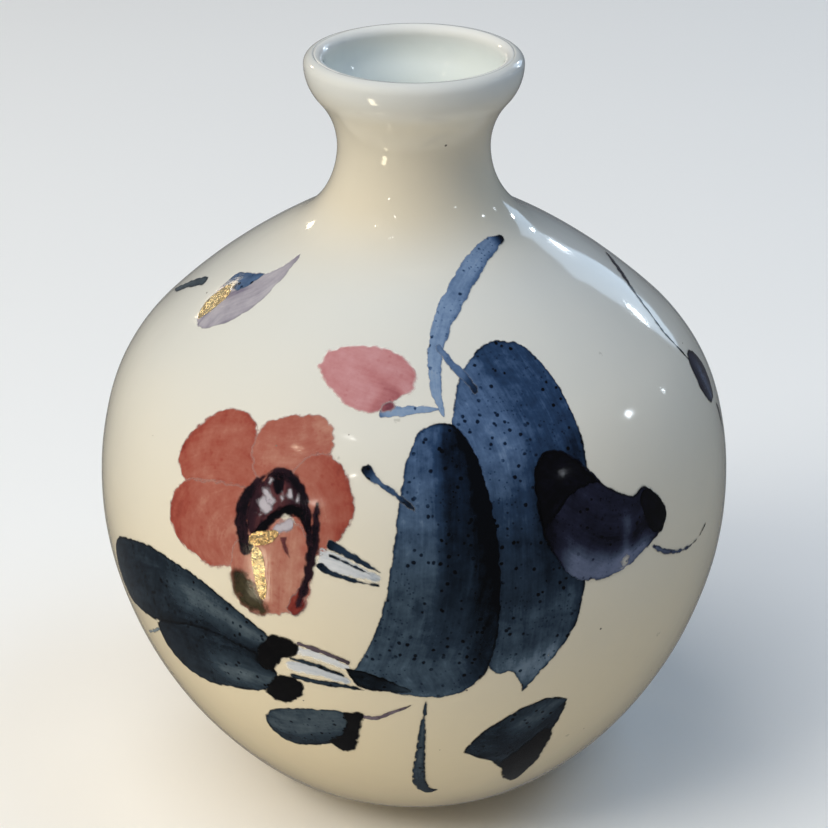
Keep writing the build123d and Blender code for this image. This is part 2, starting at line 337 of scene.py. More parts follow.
outer_skin = [
    *outside,
    *trace_lip(lip_bead, 0, 90),
    (lip_centre[0], lip_height),
    (lip_centre[0], lip_height - glaze),
    *trace_lip(lip_bead - glaze, 90, 0),
    *trace_arcs((foot_radius, foot_side), 0, outside_arcs, glaze, 2.0)[::-1],
    (foot_radius - glaze, foot_side + glaze),
    (foot_radius - glaze, bare_rim),
    (foot_radius - 0.1, bare_rim - 0.02),
    (foot_radius, bare_rim + 0.1),
    (foot_radius, foot_side),
]
clear = clear_glaze()
outer_glaze = spin("glazed_outside", outer_skin, clear, unevenness=0.22)
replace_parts(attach(outer_glaze, "root"), "outer_glaze")

# ---------------------------------------------------------------- inner glaze
# The same glaze with a little iron and cobalt left in the bucket, swilled round the inside and poured
# out over the lip, so the mouth reads pale blue-green against the outside.
inside_arcs = [
    (6.7, -36.1),
    (15.8, 75.3),
    (29.7, 23.7),
    (69.5, -8.6),
    (32.4, -40.2),
    (49.1, -39.1),
    (52.3, -24.0),
    (10.4, -41.0),
]


def celadon_glaze():
    material, pen = finish("celadon_glaze")
    place = pen.node("ShaderNodeTexCoord", output="Object")
    height = place.parts()[2]
    drift = pen.noise(place, 60.0, 3.0)
    deep = drift.rise(0.3, 0.7).blend(rgba(0.71, 0.755, 0.725), rgba(0.67, 0.725, 0.715))
    colour = height.rise(0.1125, 0.1160).blend(deep, rgba(0.71, 0.71, 0.68))
    ripple = pen.noise(place, 380.0, 2.0)
    bump = pen.node("ShaderNodeBump", None, {"Strength": 0.15, "Distance": 0.0002, "Height": ripple})
    surface(
        pen,
        {
            "Base Color": colour,
            "Roughness": drift * 0.05 + 0.08,
            "IOR": 1.52,
            "Coat Weight": 0.35,
            "Coat Roughness": 0.04,
            "Normal": bump,
        },
    )
    return material


celadon = celadon_glaze()
lip_inside = (lip_side[0] - 2 * lip_bead, lip_side[1])
hollow = trace_arcs(lip_inside, -90, inside_arcs)
floor_height = hollow[-1][1]
inner_skin = [
    (0.0, floor_height),
    (10.0, floor_height),
    *hollow[::-1],
    *trace_lip(lip_bead, 180, 90),
    (lip_centre[0], lip_height),
    (lip_centre[0], lip_height - glaze),
    *trace_lip(lip_bead - glaze, 90, 180),
    *trace_arcs(lip_inside, -90, inside_arcs, glaze, 2.0),
    (10.0, floor_height - glaze),
    (0.0, floor_height - glaze),
]
inner_glaze = spin("glazed_inside", inner_skin, celadon, turns=240, unevenness=0.12)
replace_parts(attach(inner_glaze, "root"), "inner_glaze")

# ---------------------------------------------------------------- base glaze
# A dab of the outer glaze brushed into the recess inside the foot ring. It covers the recess's floor and
# side, and stops short of the rim that the bottle stands on.
foot_width = 4.0
foot_recess = 3.2
recess_radius = foot_radius - foot_width
base_skin = [
    (0.0, foot_recess),
    (recess_radius - 1.2, foot_recess - 0.05),
    (recess_radius - 0.4, foot_recess - 0.2),
    (recess_radius - 0.1, foot_recess - 0.6),
    (recess_radius, bare_rim + 0.1),
    (recess_radius + 0.1, bare_rim),
    (recess_radius + glaze, bare_rim),
    (recess_radius + glaze, foot_recess + glaze),
    (0.0, foot_recess + glaze),
]
base_glaze = spin("glazed_recess", base_skin, clear, turns=96, unevenness=0.05)
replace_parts(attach(base_glaze, "root"), "base_glaze")

# ---------------------------------------------------------------- stem of the spray
# A loaded brush of thin cobalt, set down dark at the neck and drawn left and down in one sweep, with a
# short branch to the back leaf and a pale stalk under the bud.
outline = np.array(outside)


def on_glaze(azimuth, height):
    """Where a spot of the painting lies on the outside, in metres."""
    radius = np.interp(height, outline[:, 1], outline[:, 0])
    turn = np.radians(azimuth)
    return np.stack([radius * np.sin(turn), -radius * np.cos(turn), height + 0 * radius], axis=-1) * MM


def smooth_line(points, places):
    """A smooth line through the points, read at these places from 0 to 1."""
    knots = np.array(points, float)
    if len(knots) == 1:
        return np.repeat(knots, len(places), axis=0)
    steps = np.hypot(*np.diff(knots[:, :2], axis=0).T)
    along = np.concatenate([[0], np.cumsum(steps)]) / steps.sum()
    slopes = np.gradient(knots, along, axis=0, edge_order=2 if len(knots) > 2 else 1)
    at = np.clip(np.searchsorted(along, places, side="right") - 1, 0, len(knots) - 2)
    span = (along[at + 1] - along[at])[:, None]
    share = ((places - along[at]) / span[:, 0])[:, None]
    return (
        (2 * share**3 - 3 * share**2 + 1) * knots[at]
        + (share**3 - 2 * share**2 + share) * span * slopes[at]
        + (3 * share**2 - 2 * share**3) * knots[at + 1]
        + (share**3 - share**2) * span * slopes[at + 1]
    )


bedding = 0.01 * MM
crisp_angle = 0.6


def brush_tree():
    """Lay a sheet of brushwork on the glaze: its under side bedded in, its top proud, its rim crisp."""
    tree = bpy.data.node_groups.new("brushwork", "GeometryNodeTree")
    for name, kind in (
        ("Geometry", "NodeSocketGeometry"),
        ("Glaze", "NodeSocketObject"),
        ("Lift", "NodeSocketFloat"),
        ("Pigment", "NodeSocketMaterial"),
    ):
        tree.interface.new_socket(name, in_out="INPUT", socket_type=kind)
    tree.interface.new_socket("Geometry", in_out="OUTPUT", socket_type="NodeSocketGeometry")
    pen = Wire(tree)
    given = tree.nodes.new("NodeGroupInput")
    sheet, glaze_object, lift, pigment = (Wire(tree, given.outputs[place]) for place in range(4))
    under = pen.node("GeometryNodeObjectInfo", None, {"Object": glaze_object}, "Geometry")
    nearest = pen.node("GeometryNodeProximity", {"target_element": "FACES"}, {0: under})
    normal = pen.node(
        "GeometryNodeSampleNearestSurface",
        {"data_type": "FLOAT_VECTOR"},
        {"Mesh": under, "Value": pen.node("GeometryNodeInputNormal")},
    )
    sunk = pen.node("ShaderNodeVectorMath", {"operation": "SCALE"}, {0: normal, "Scale": -bedding})
    spot = pen.node("ShaderNodeVectorMath", {"operation": "ADD"}, {0: nearest, 1: sunk})
    laid = pen.node("GeometryNodeSetPosition", None, {"Geometry": sheet, "Position": spot})
    single = pen.node("GeometryNodeMergeByDistance", None, {"Geometry": laid, "Distance": 2e-6})
    under_side = pen.node("GeometryNodeFlipFaces", None, {"Mesh": single})
    up = pen.node("ShaderNodeVectorMath", {"operation": "NORMALIZE"}, {0: normal})
    raised = pen.node(
        "GeometryNodeExtrudeMesh",
        {"mode": "FACES"},
        {"Mesh": single, "Offset": up, "Offset Scale": lift + bedding, "Individual": False},
    )
    both = tree.nodes.new("GeometryNodeJoinGeometry")
    tree.links.new(under_side.socket, both.inputs[0])
    tree.links.new(raised.socket, both.inputs[0])
    both = Wire(tree, both.outputs[0])
    joined = pen.node("GeometryNodeMergeByDistance", None, {"Geometry": both, "Distance": 1e-6})
    smooth = pen.node("GeometryNodeSetShadeSmooth", None, {"Geometry": joined})
    gentle = pen.node(
        "FunctionNodeCompare",
        {"data_type": "FLOAT", "operation": "LESS_THAN"},
        {0: pen.node("GeometryNodeInputMeshEdgeAngle"), 1: crisp_angle},
    )
    crisp = pen.node(
        "GeometryNodeSetShadeSmooth", {"domain": "EDGE"}, {"Geometry": smooth, "Shade Smooth": gentle}
    )
    real = pen.node("GeometryNodeRealizeInstances", None, {"Geometry": crisp})
    done = pen.node("GeometryNodeSetMaterial", None, {"Geometry": real, "Material": pigment})
    pen.node("NodeGroupOutput", None, {0: done})
    return tree


brushwork = brush_tree()
first_coat = 0.03 * MM
next_coat = 0.012 * MM


def wash(name, left, right, tone, pigment, layer, node=None, across=28, along=90):
    """One area of brushwork between its left and right edges, each from its start to its end.

    tone takes the share across and the share along, and gives 0 for a pale wash to 1 for thick pigment.
    layer counts the coats beneath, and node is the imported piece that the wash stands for, if it has one.
    """
    ends = (1 - np.cos(pi * np.linspace(0, 1, along + 1))) / 2
    shares = (1 - np.cos(pi * np.linspace(0, 1, across + 1))) / 2
    first, second = smooth_line(left, ends), smooth_line(right, ends)
    grid = first[:, None] * (1 - shares[:, None]) + second[:, None] * shares[:, None]
    spots = on_glaze(grid[..., 0], grid[..., 1])
    rim = np.concatenate([spots[:, 0], spots[:, -1], spots[0], spots[-1]])
    flat = spots.reshape(-1, 3)
    edge = np.array([np.sqrt(((rim - spot) ** 2).sum(1).min()) for spot in flat]) / MM
    middle = spots[:, across // 2]
    steps = np.linalg.norm(np.diff(middle, axis=0), axis=1) / MM
    lengthwise = np.repeat(np.concatenate([[0], np.cumsum(steps)]), across + 1)
    width = np.linalg.norm(spots[:, -1] - spots[:, 0], axis=1) / MM
    crosswise = ((shares[None, :] - 0.5) * width[:, None]).ravel()
    u, v = np.meshgrid(shares, ends)
    row = across + 1
    faces = [
        (j * row + i, j * row + i + 1, (j + 1) * row + i + 1, (j + 1) * row + i)
        for j in range(along)
        for i in range(across)
    ]
    half_along, half_across = along // 2, across // 2
    crossing = spots[half_along, -1] - spots[half_along, 0]
    facing = np.cross(crossing, spots[-1, half_across] - spots[0, half_across])
    if facing @ (spots[half_along, half_across] * (1, 1, 0)) < 0:
        faces = [face[::-1] for face in faces]
    mesh = bpy.data.meshes.new(name)
    mesh.from_pydata(flat.tolist(), [], faces)
    for label, values in (
        ("edge", edge),
        ("lengthwise", lengthwise),
        ("crosswise", crosswise),
        ("tone", np.clip(tone(u, v) + 0 * u, -1, 2).ravel()),
    ):
        mesh.attributes.new(label, "FLOAT", "POINT").data.foreach_set("value", values.astype(np.float32))
    piece = bpy.data.objects.new(name, mesh)
    bpy.context.scene.collection.objects.link(piece)
    brush = piece.modifiers.new("brushwork", "NODES")
    brush.node_group = brushwork
    set_inputs(brush, Glaze=outer_glaze, Lift=first_coat + next_coat * layer, Pigment=pigment)
    settle(piece)
    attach(piece, "root")
    if node:
        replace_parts(piece, node)
    return piece


def stroke(
    name, centre, half_widths, tone, pigment, layer, node=None, along=70, across=12
):
    """One brush stroke down a centre line, with its half width in millimetres at each point."""
    places = np.linspace(0, 1, 60)
    knots = [(*spot, width) for spot, width in zip(centre, half_widths)]
    line = smooth_line(knots, places)
    spots = on_glaze(line[:, 0], line[:, 1]) / MM
    run = np.gradient(spots, axis=0)
    outward = spots * (1, 1, 0)
    outward /= np.linalg.norm(outward, axis=1)[:, None]
    side = np.cross(run, outward)
    side /= np.linalg.norm(side, axis=1)[:, None]
    round_end = np.sqrt(np.clip(1 - (2 * places - 1) ** 24, 0, 1))
    reach = side * (line[:, 2] * round_end)[:, None]
    edges = []
    for sign in (-1, 1):
        edge = spots + sign * reach
        azimuth = np.degrees(np.arctan2(edge[:, 0], -edge[:, 1]))
        azimuth = np.where(azimuth - line[:, 0] < -180, azimuth + 360, azimuth)
        edges.append(list(zip(azimuth, edge[:, 2])))
    return wash(name, edges[0], edges[1], tone, pigment, layer, node, across, along)


def step(value, low, high):
    """0 below low, 1 above high, smooth between."""
    share = np.clip((value - low) / (high - low), 0, 1)
    return share * share * (3 - 2 * share)


def hump(value, middle, width):
    """1 at the middle, falling away smoothly on both sides."""
    return np.exp(-(((value - middle) / width) ** 2))


def even(tone):
    """The tone of a wash that is equally strong all over."""
    return lambda u, v: tone


def pigment_finish(
    name,
    stops,
    high_stops=None,
    streak=0.3,
    blotch=0.35,
    pool=0.25,
    specks=0.5,
    feather=0.22,
    gloss=0.25,
    painted_edge_light=0.0,
):
    """A fired pigment: streaks along the stroke, clouds, a darker rim where the wash gathered, specks and
    a ragged edge.

    high_stops are the colours higher up the bottle, where the painter's brush was fresher. The last
    argument is painted light: how much of the glaze's pale colour is added where the wash thins out at
    its edge, standing in for the light that the thin edge keeps off the glaze beneath.
    """
    material, pen = finish(name)
    place = pen.node("ShaderNodeTexCoord", output="Object")
    tone, edge, lengthwise, crosswise = (
        pen.node("ShaderNodeAttribute", {"attribute_name": label}, output="Fac")
        for label in ("tone", "edge", "lengthwise", "crosswise")
    )
    broad = pen.node(
        "ShaderNodeCombineXYZ", None, {0: crosswise * 0.75, 1: lengthwise * 0.07, 2: tone * 0.3},
    )
    hairs = pen.node(
        "ShaderNodeCombineXYZ", None, {0: crosswise * 2.4, 1: lengthwise * 0.3, 2: tone * 0.3},
    )
    streaks = pen.noise(broad, 1.0, 3.0, 0.55) * 0.65 + pen.noise(hairs, 1.0, 3.0, 0.6) * 0.35
    clouds = pen.noise(place, 130.0, 4.0, 0.6) * 0.6 + pen.noise(place, 520.0, 3.0, 0.6) * 0.4
    grain = pen.noise(place, 2200.0, 2.0)
    dots = pen.node("ShaderNodeTexVoronoi", {"feature": "F1"}, {"Vector": place, "Scale": 780.0})
    where = pen.noise(place, 230.0, 1.0)
    size = pen.noise(place, 1700.0, 1.0)
    fine = pen.node("ShaderNodeTexVoronoi", {"feature": "F1"}, {"Vector": place, "Scale": 1500.0})
    blot = (dots + size * 0.22).rise(0.38, 0.24) * where.rise(0.44, 0.54)
    speck = blot + fine.rise(0.30, 0.12) * where.rise(0.50, 0.40) * 0.4
    rim = edge.rise(0.75, 0.05)
    shade = (
        tone
        + (streaks - 0.5) * (2.0 * streak)
        + (clouds - 0.5) * (2.0 * blotch)
        + (grain - 0.5) * 0.12
        + rim * pool
        + speck * specks
    )
    colour = pen.node("ShaderNodeValToRGB", {"stops": stops}, {0: shade})
    if high_stops:
        fresh = pen.node("ShaderNodeValToRGB", {"stops": high_stops}, {0: shade})
        colour = place.parts()[2].rise(0.052, 0.078).blend(colour, fresh)
    tatter = pen.noise(place, 820.0, 2.0, 0.5).rise(0.3, 0.8) * (0.25 + feather * 0.4)
    cover = (edge - tatter).rise(-0.05, feather) * shade.rise(-0.25, 0.08)
    # Painted light: where the wash thins, the glaze's pale colour is added in, standing in for the light
    # that the semi-transparent edge keeps off the glaze below.
    if painted_edge_light:
        under = rgba(painted_edge_light, painted_edge_light, painted_edge_light * 0.95)
        colour = pen.node(
            "ShaderNodeMix", {"data_type": "RGBA", "blend_type": "ADD"},
            {0: 1 - cover, 6: colour, 7: under}, 2,
        )
    bump = pen.node(
        "ShaderNodeBump", None, {"Strength": 0.2, "Distance": 0.0001, "Height": streaks + clouds * 0.5}
    )
    surface(
        pen,
        {
            "Base Color": colour,
            "Roughness": clouds * 0.10 + 0.06,
            "IOR": 1.5,
            "Specular IOR Level": gloss,
            "Alpha": cover,
            "Normal": bump,
        },
    )
    return material


low_cobalt = [
    (0.0, (0.146, 0.198, 0.258)),
    (0.25, (0.050, 0.079, 0.112)),
    (0.5, (0.0155, 0.028, 0.047)),
    (0.75, (0.0052, 0.0103, 0.0189)),
    (1.0, (0.0010, 0.0015, 0.0026)),
]
high_cobalt = [
    (0.0, (0.198, 0.284, 0.421)),
    (0.25, (0.069, 0.120, 0.224)),
    (0.5, (0.0172, 0.041, 0.095)),
    (0.75, (0.0052, 0.0120, 0.029)),
    (1.0, (0.0010, 0.0017, 0.0034)),
]
cobalt = pigment_finish("cobalt", low_cobalt, high_cobalt, streak=0.28, blotch=0.38)
thin_cobalt = pigment_finish(
    "thin_cobalt", low_cobalt, high_cobalt, streak=0.2, blotch=0.25, pool=0.06, specks=0.5, painted_edge_light=0.22,
)

stroke(
    "stem_sweep",
    [
        (52.5, 91.6), (42.0, 91.4), (27.0, 90.0), (14.5, 87.4), (8.6, 85.2), (5.3, 82.0), (5.0, 79.0),
        (6.4, 76.0),
    ],
    [0.45, 0.85, 1.05, 1.25, 1.3, 1.2, 0.9, 0.55],
    lambda u, v: 0.10 + 0.80 * step(v, 0.18, 0.02) + 0.14 * step(u, 0.3, 0.0)
    - 0.06 * step(v, 0.8, 1.0),
    thin_cobalt, 3, "stem",
)
stroke(
    "stem_branch", [(6.2, 83.2), (9.4, 81.3), (11.9, 80.0), (14.4, 78.2)], [0.5, 0.6, 0.6, 0.55],
    lambda u, v: 0.22 + 0.45 * step(v, 0.55, 0.9), thin_cobalt, 4,
)
stroke(
    "bud_stalk_stroke", [(-7.6, 76.7), (-3.5, 76.8), (1.2, 77.0), (6.4, 77.0)], [0.75, 0.65, 0.45, 0.3],
    lambda u, v: 0.04 + 0.4 * step(v, 0.85, 1.0) + 0.3 * step(v, 0.2, 0.0), thin_cobalt, 2, "bud_stalk",
)

# ---------------------------------------------------------------- tall leaves
# Two broad leaves, each pressed out with a flat brush loaded dark on its right side: the back leaf
# first, in fresher blue with a torn lower tip, and the front leaf over it with the marks of the hairs.
wash(
    "back_leaf_wash",
    [
        (14.5, 81.8), (11.2, 80.4), (8.8, 78.2), (7.4, 75.0), (8.4, 68.0), (10.0, 58.0), (11.6, 48.0),
        (12.5, 42.0), (14.2, 40.5), (16.6, 40.6), (17.9, 38.8), (18.7, 35.4),
    ],
    [
        (14.5, 81.8), (19.0, 82.9), (25.0, 82.9), (30.6, 81.7), (33.6, 78.2), (34.0, 73.6),
        (33.0, 68.0), (31.4, 60.0), (29.8, 53.4), (28.6, 47.6), (25.4, 42.8), (21.4, 38.8),
        (18.7, 35.4),
    ],
    lambda u, v: 0.30 + 0.22 * step(u, 0.42, 0.62) * step(v, 0.72, 0.60)
    + 0.16 * step(v, 0.30, 0.42) * step(v, 0.72, 0.60)
    + 0.12 * step(v, 0.35, 0.5) * step(v, 0.84, 0.76) - 0.16 * step(v, 0.76, 0.86) * step(u, 0.92, 0.8)
    + 0.30 * step(v, 0.60, 0.75) * step(u, 0.90, 0.99) + 0.45 * step(v, 0.93, 0.98),
    cobalt, 1, "back_leaf", along=150,
)
wash(
    "front_leaf_wash",
    [
        (6.4, 75.7), (3.4, 75.6), (0.4, 74.6), (-1.6, 71.8), (-2.8, 66.6), (-3.8, 60.0), (-4.9, 53.6),
        (-6.6, 48.4), (-9.0, 43.8), (-10.6, 41.0), (-6.6, 39.2), (-1.0, 37.6), (4.5, 37.2),
    ],
    [
        (6.4, 75.7), (9.4, 74.9), (11.6, 72.6), (13.2, 68.4), (14.2, 62.6), (14.5, 56.0), (14.2, 49.6),
        (13.2, 44.0), (11.6, 40.4), (8.6, 38.2), (4.5, 37.2),
    ],
    lambda u, v: 0.38 + 0.44 * step(u, 0.34, 0.56) * step(v, 0.02, 0.10) * step(v, 0.80, 0.42)
    + 0.28 * step(u, 0.70, 0.92) * step(v, 0.93, 0.75) + 0.40 * step(v, 0.085, 0.03)
    - 0.06 * step(v, 0.55, 0.75) * step(u, 0.85, 0.6) - 0.12 * step(v, 0.84, 0.92)
    - 0.05 * step(u, 0.25, 0.0),
    cobalt, 5, "front_leaf", along=150, across=40,
)

# ---------------------------------------------------------------- dark petal and tendril
# A short fat press of violet-black at the right of the leaves: black at its shoulder and tip, with the
# wash pushed out pale along the bottom, and a hair-thin tendril run off the end.
violet_stops = [
    (0.0, (0.138, 0.163, 0.249)),
    (0.3, (0.052, 0.067, 0.107)),
    (0.6, (0.0138, 0.0155, 0.033)),
    (0.85, (0.0034, 0.0034, 0.0077)),
    (1.0, (0.0013, 0.0013, 0.0022)),
]
violet = pigment_finish("violet_black", violet_stops, streak=0.22, blotch=0.28, specks=0.3)
wash(
    "dark_petal_wash",
    [
        (21.4, 66.4), (21.9, 69.4), (24.2, 71.2), (27.2, 71.5), (30.2, 70.4), (33.0, 68.2),
        (36.0, 65.4), (39.0, 63.9), (41.6, 62.9), (43.6, 63.6), (46.6, 62.2), (48.9, 59.4),
        (49.2, 57.4),
    ],
    [
        (21.4, 66.4), (21.6, 62.8), (23.0, 59.2), (25.0, 56.2), (27.8, 53.7), (32.0, 52.6),
        (37.0, 52.7), (41.5, 53.8), (45.0, 55.0), (47.4, 55.9), (49.2, 57.4),
    ],
    lambda u, v: 0.70 + 0.22 * step(v, 0.30, 0.12)
    - 0.58 * step(u, 0.62, 0.86) * step(v, 0.26, 0.38) * step(v, 0.90, 0.76)
    + 0.12 * hump(u, 0.55, 0.12) * step(v, 0.4, 0.5) - 0.30 * hump(v, 0.66, 0.03) * step(u, 0.15, 0.35),
    violet, 6, "dark_petal", along=110, across=36,
)
wash(
    "petal_shoulder",
    [(21.8, 65.4), (22.3, 69.4), (24.5, 71.0), (27.4, 71.3), (30.2, 70.2), (33.4, 67.4), (34.6, 66.0)],
    [(21.8, 65.4), (22.6, 62.0), (25.0, 63.4), (27.6, 65.2), (31.0, 66.0), (34.6, 66.0)], even(0.96),
    violet, 7, along=60,
)
wash(
    "petal_tip", [(42.4, 60.6), (43.4, 62.9), (45.0, 63.0), (47.2, 61.4), (48.8, 59.0), (48.6, 57.0)],
    [(42.4, 60.6), (43.4, 58.6), (44.6, 56.6), (46.8, 56.0), (48.6, 57.0)], even(0.97), violet, 7,
    along=50,
)
stroke(
    "tendril_stroke", [(44.5, 54.6), (49.4, 51.8), (54.0, 50.6), (58.6, 50.4), (62.8, 51.6)],
    [0.5, 0.5, 0.4, 0.32, 0.25], lambda u, v: 0.22 + 0.45 * step(v, 0.55, 1.0), violet, 4, "tendril",
)

# ---------------------------------------------------------------- camellia
# Five open petals in iron red, each filled from the middle outward so that the wash is thin and warm
# inside and a stronger brick red where it stopped; the heart is drawn over it in black and lavender.
red_stops = [
    (0.0, (0.440, 0.222, 0.162)),
    (0.3, (0.325, 0.108, 0.077)),
    (0.55, (0.270, 0.058, 0.039)),
    (0.8, (0.165, 0.022, 0.0165)),
    (1.0, (0.043, 0.0086, 0.0086)),
]
iron_red = pigment_finish(
    "iron_red", red_stops, streak=0.22, blotch=0.45, pool=0.05, specks=0.08, feather=0.5, gloss=0.5,
    painted_edge_light=0.27,
)
petals = {
    "top_left": (
        [
            (-25.0, 66.4), (-29.4, 70.0), (-32.0, 73.4), (-35.6, 74.5), (-40.0, 74.3), (-44.0, 72.8),
            (-46.8, 70.2), (-48.0, 67.4), (-46.0, 64.6),
        ],
        [(-25.0, 66.4), (-31.0, 64.6), (-37.0, 63.6), (-42.0, 63.4), (-46.0, 64.6)],
        lambda u, v: 0.36 + 0.20 * step(u, 0.35, 0.0) + 0.10 * step(v, 0.6, 0.9),
    ),
    "top_right": (
        [
            (-31.8, 70.4), (-31.6, 73.4), (-28.4, 74.9), (-23.6, 75.7), (-18.8, 75.8), (-15.9, 74.7),
            (-15.0, 72.8),
        ],
        [(-31.8, 70.4), (-29.0, 67.4), (-24.5, 66.6), (-20.0, 67.4), (-16.8, 70.2), (-15.0, 72.8)],
        lambda u, v: 0.28 + 0.14 * step(u, 0.3, 0.0) - 0.16 * step(v, 0.5, 0.75) * step(u, 0.5, 0.2),
    ),
    "right": (
        [
            (-24.0, 67.6), (-19.4, 71.9), (-15.8, 72.1), (-12.8, 71.0), (-10.5, 68.3), (-10.0, 65.2),
            (-11.5, 62.4), (-13.6, 60.4), (-16.4, 58.4),
        ],
        [(-24.0, 67.6), (-21.4, 63.4), (-19.0, 59.8), (-16.4, 58.4)],
        lambda u, v: 0.30 + 0.26 * step(u, 0.5, 0.1) * step(v, 0.25, 0.55) + 0.12 * step(u, 0.2, 0.0),
    ),
    "left": (
        [
            (-25.0, 66.0), (-33.0, 66.4), (-39.6, 65.6), (-44.8, 64.2), (-47.2, 61.2), (-46.8, 57.8),
            (-43.6, 55.3), (-40.0, 54.2), (-36.4, 53.5), (-31.4, 54.8),
        ],
        [(-25.0, 66.0), (-23.5, 62.0), (-26.0, 57.4), (-31.4, 54.8)],
        lambda u, v: 0.32 + 0.30 * step(u, 0.4, 0.0) * step(v, 0.3, 0.6) - 0.10 * step(u, 0.45, 0.8),
    ),
    "bottom": (
        [
            (-24.0, 63.6), (-30.4, 60.4), (-32.4, 56.0), (-32.0, 52.4), (-30.6, 49.7), (-27.9, 48.3),
            (-24.6, 48.7),
        ],
        [
            (-24.0, 63.6), (-18.6, 62.6), (-16.6, 58.4), (-16.8, 54.0), (-18.2, 50.8), (-20.6, 49.6),
            (-24.6, 48.7),
        ],
        lambda u, v: 0.20 + 0.62 * step(v, 0.80, 0.92) * step(u, 0.66, 0.82)
        + 0.10 * step(u, 0.85, 1.0),
    ),
}
for layer, (name, (left, right, tone)) in enumerate(petals.items()):
    node = f"camellia_petal_{name}"
    wash(f"petal_{name}", left, right, tone, iron_red, 1 + layer, node, along=80)

stroke(
    "petal_foot_red", [(-18.0, 55.4), (-18.8, 53.2), (-19.8, 51.2), (-21.0, 49.8)],
    [0.4, 1.1, 1.5, 0.9], even(0.84), iron_red, 6, along=30,
)
olive_stops = [
    (0.0, (0.220, 0.150, 0.080)), (0.5, (0.070, 0.054, 0.026)), (1.0, (0.0120, 0.0110, 0.0062)),
]
olive = pigment_finish(
    "olive_shadow", olive_stops, streak=0.1, blotch=0.4, pool=0.0, specks=0.1, feather=1.5,
)
wash(
    "petal_foot_shadow", [(-32.6, 54.8), (-32.2, 51.2), (-30.2, 48.8), (-27.0, 47.9), (-23.4, 48.9)],
    [(-32.6, 54.8), (-29.6, 55.4), (-27.0, 54.0), (-25.0, 51.6), (-23.4, 48.9)],
    lambda u, v: 0.80 - 0.45 * step(v, 0.65, 1.0), olive, 6, along=50,
)

heart_stops = [
    (0.0, (0.258, 0.086, 0.073)),
    (0.3, (0.112, 0.034, 0.036)),
    (0.6, (0.026, 0.0103, 0.0155)),
    (0.85, (0.0052, 0.0034, 0.0060)),
    (1.0, (0.0017, 0.0017, 0.0026)),
]
heart_black = pigment_finish(
    "heart_black", heart_stops, streak=0.3, blotch=0.3, pool=-0.25, specks=0.1, feather=0.45
)
line_stops = [(0.0, (0.300, 0.250, 0.275)), (0.5, (0.098, 0.074, 0.092)), (1.0, (0.0030, 0.0028, 0.0040))]
line_black = pigment_finish(
    "line_black", line_stops, streak=0.2, blotch=0.35, pool=0.0, specks=0.5, feather=0.1,
)
root_stops = [
    (0.0, (0.060, 0.055, 0.050)), (0.7, (0.0095, 0.0085, 0.0080)), (1.0, (0.0022, 0.0020, 0.0022)),
]
root_black = pigment_finish(
    "root_black", root_stops, streak=0.2, blotch=0.3, pool=0.0, specks=0.0, feather=0.35,
)
lavender_stops = [
    (0.0, (0.440, 0.415, 0.455)),
    (0.5, (0.270, 0.240, 0.290)),
    (0.8, (0.155, 0.120, 0.163)),
    (1.0, (0.043, 0.026, 0.043)),
]
lavender = pigment_finish(
    "lavender", lavender_stops, streak=0.2, blotch=0.25, pool=0.1, specks=0.0, feather=0.7, painted_edge_light=0.08,
)
wash(
    "heart_ground",
    [(-24.6, 69.0), (-27.8, 67.9), (-29.8, 65.6), (-30.2, 62.6), (-28.6, 60.0), (-25.8, 61.4)],
    [(-24.6, 69.0), (-21.6, 68.4), (-19.2, 66.6), (-18.2, 64.2), (-21.0, 64.2), (-25.8, 61.4)],
    lambda u, v: 0.45 + 0.30 * (2 * abs(u - 0.5)) ** 2 + 0.2 * step(v, 0.3, 0.0), heart_black, 7,
    "camellia_heart",
)
heart_strokes = [
    (
        [(-28.8, 56.8), (-30.0, 60.0), (-30.8, 63.0), (-29.8, 66.0), (-27.0, 68.2)],
        [0.9, 1.3, 1.3, 1.0, 0.5], 0.80,
    ),
    (
        [(-27.4, 68.0), (-24.6, 68.9), (-21.6, 68.3), (-19.4, 66.3), (-18.2, 63.4), (-17.6, 60.0)],
        [0.4, 0.9, 0.95, 0.9, 0.9, 0.8], 0.80,
    ),
    ([(-24.9, 69.0), (-24.6, 67.8), (-24.0, 66.0)], [0.9, 1.15, 0.5], 1.0),
    (
        [
            (-28.6, 57.6), (-27.2, 60.4), (-25.6, 62.4), (-23.8, 64.0), (-21.4, 64.8), (-19.0, 64.2),
            (-17.8, 62.0),
        ],
        [0.6, 1.0, 0.9, 0.8, 0.95, 1.0, 0.8], 1.0,
    ),
    (
        [(-17.0, 66.6), (-16.8, 63.0), (-17.2, 59.0), (-17.8, 55.4), (-18.8, 52.6), (-19.8, 50.6)],
        [0.5, 0.95, 1.05, 0.9, 0.8, 0.6], 0.78,
    ),
    ([(-22.4, 61.2), (-21.8, 59.4), (-20.8, 58.0)], [0.8, 0.5, 0.2], 0.45),
]
for count, (centre, widths, dark) in enumerate(heart_strokes):
    stroke(
        f"heart_line_{count + 1}", centre, widths,
        lambda u, v, dark=dark: dark - 0.15 * step(v, 0.7, 1.0), heart_black, 8, along=40,
    )
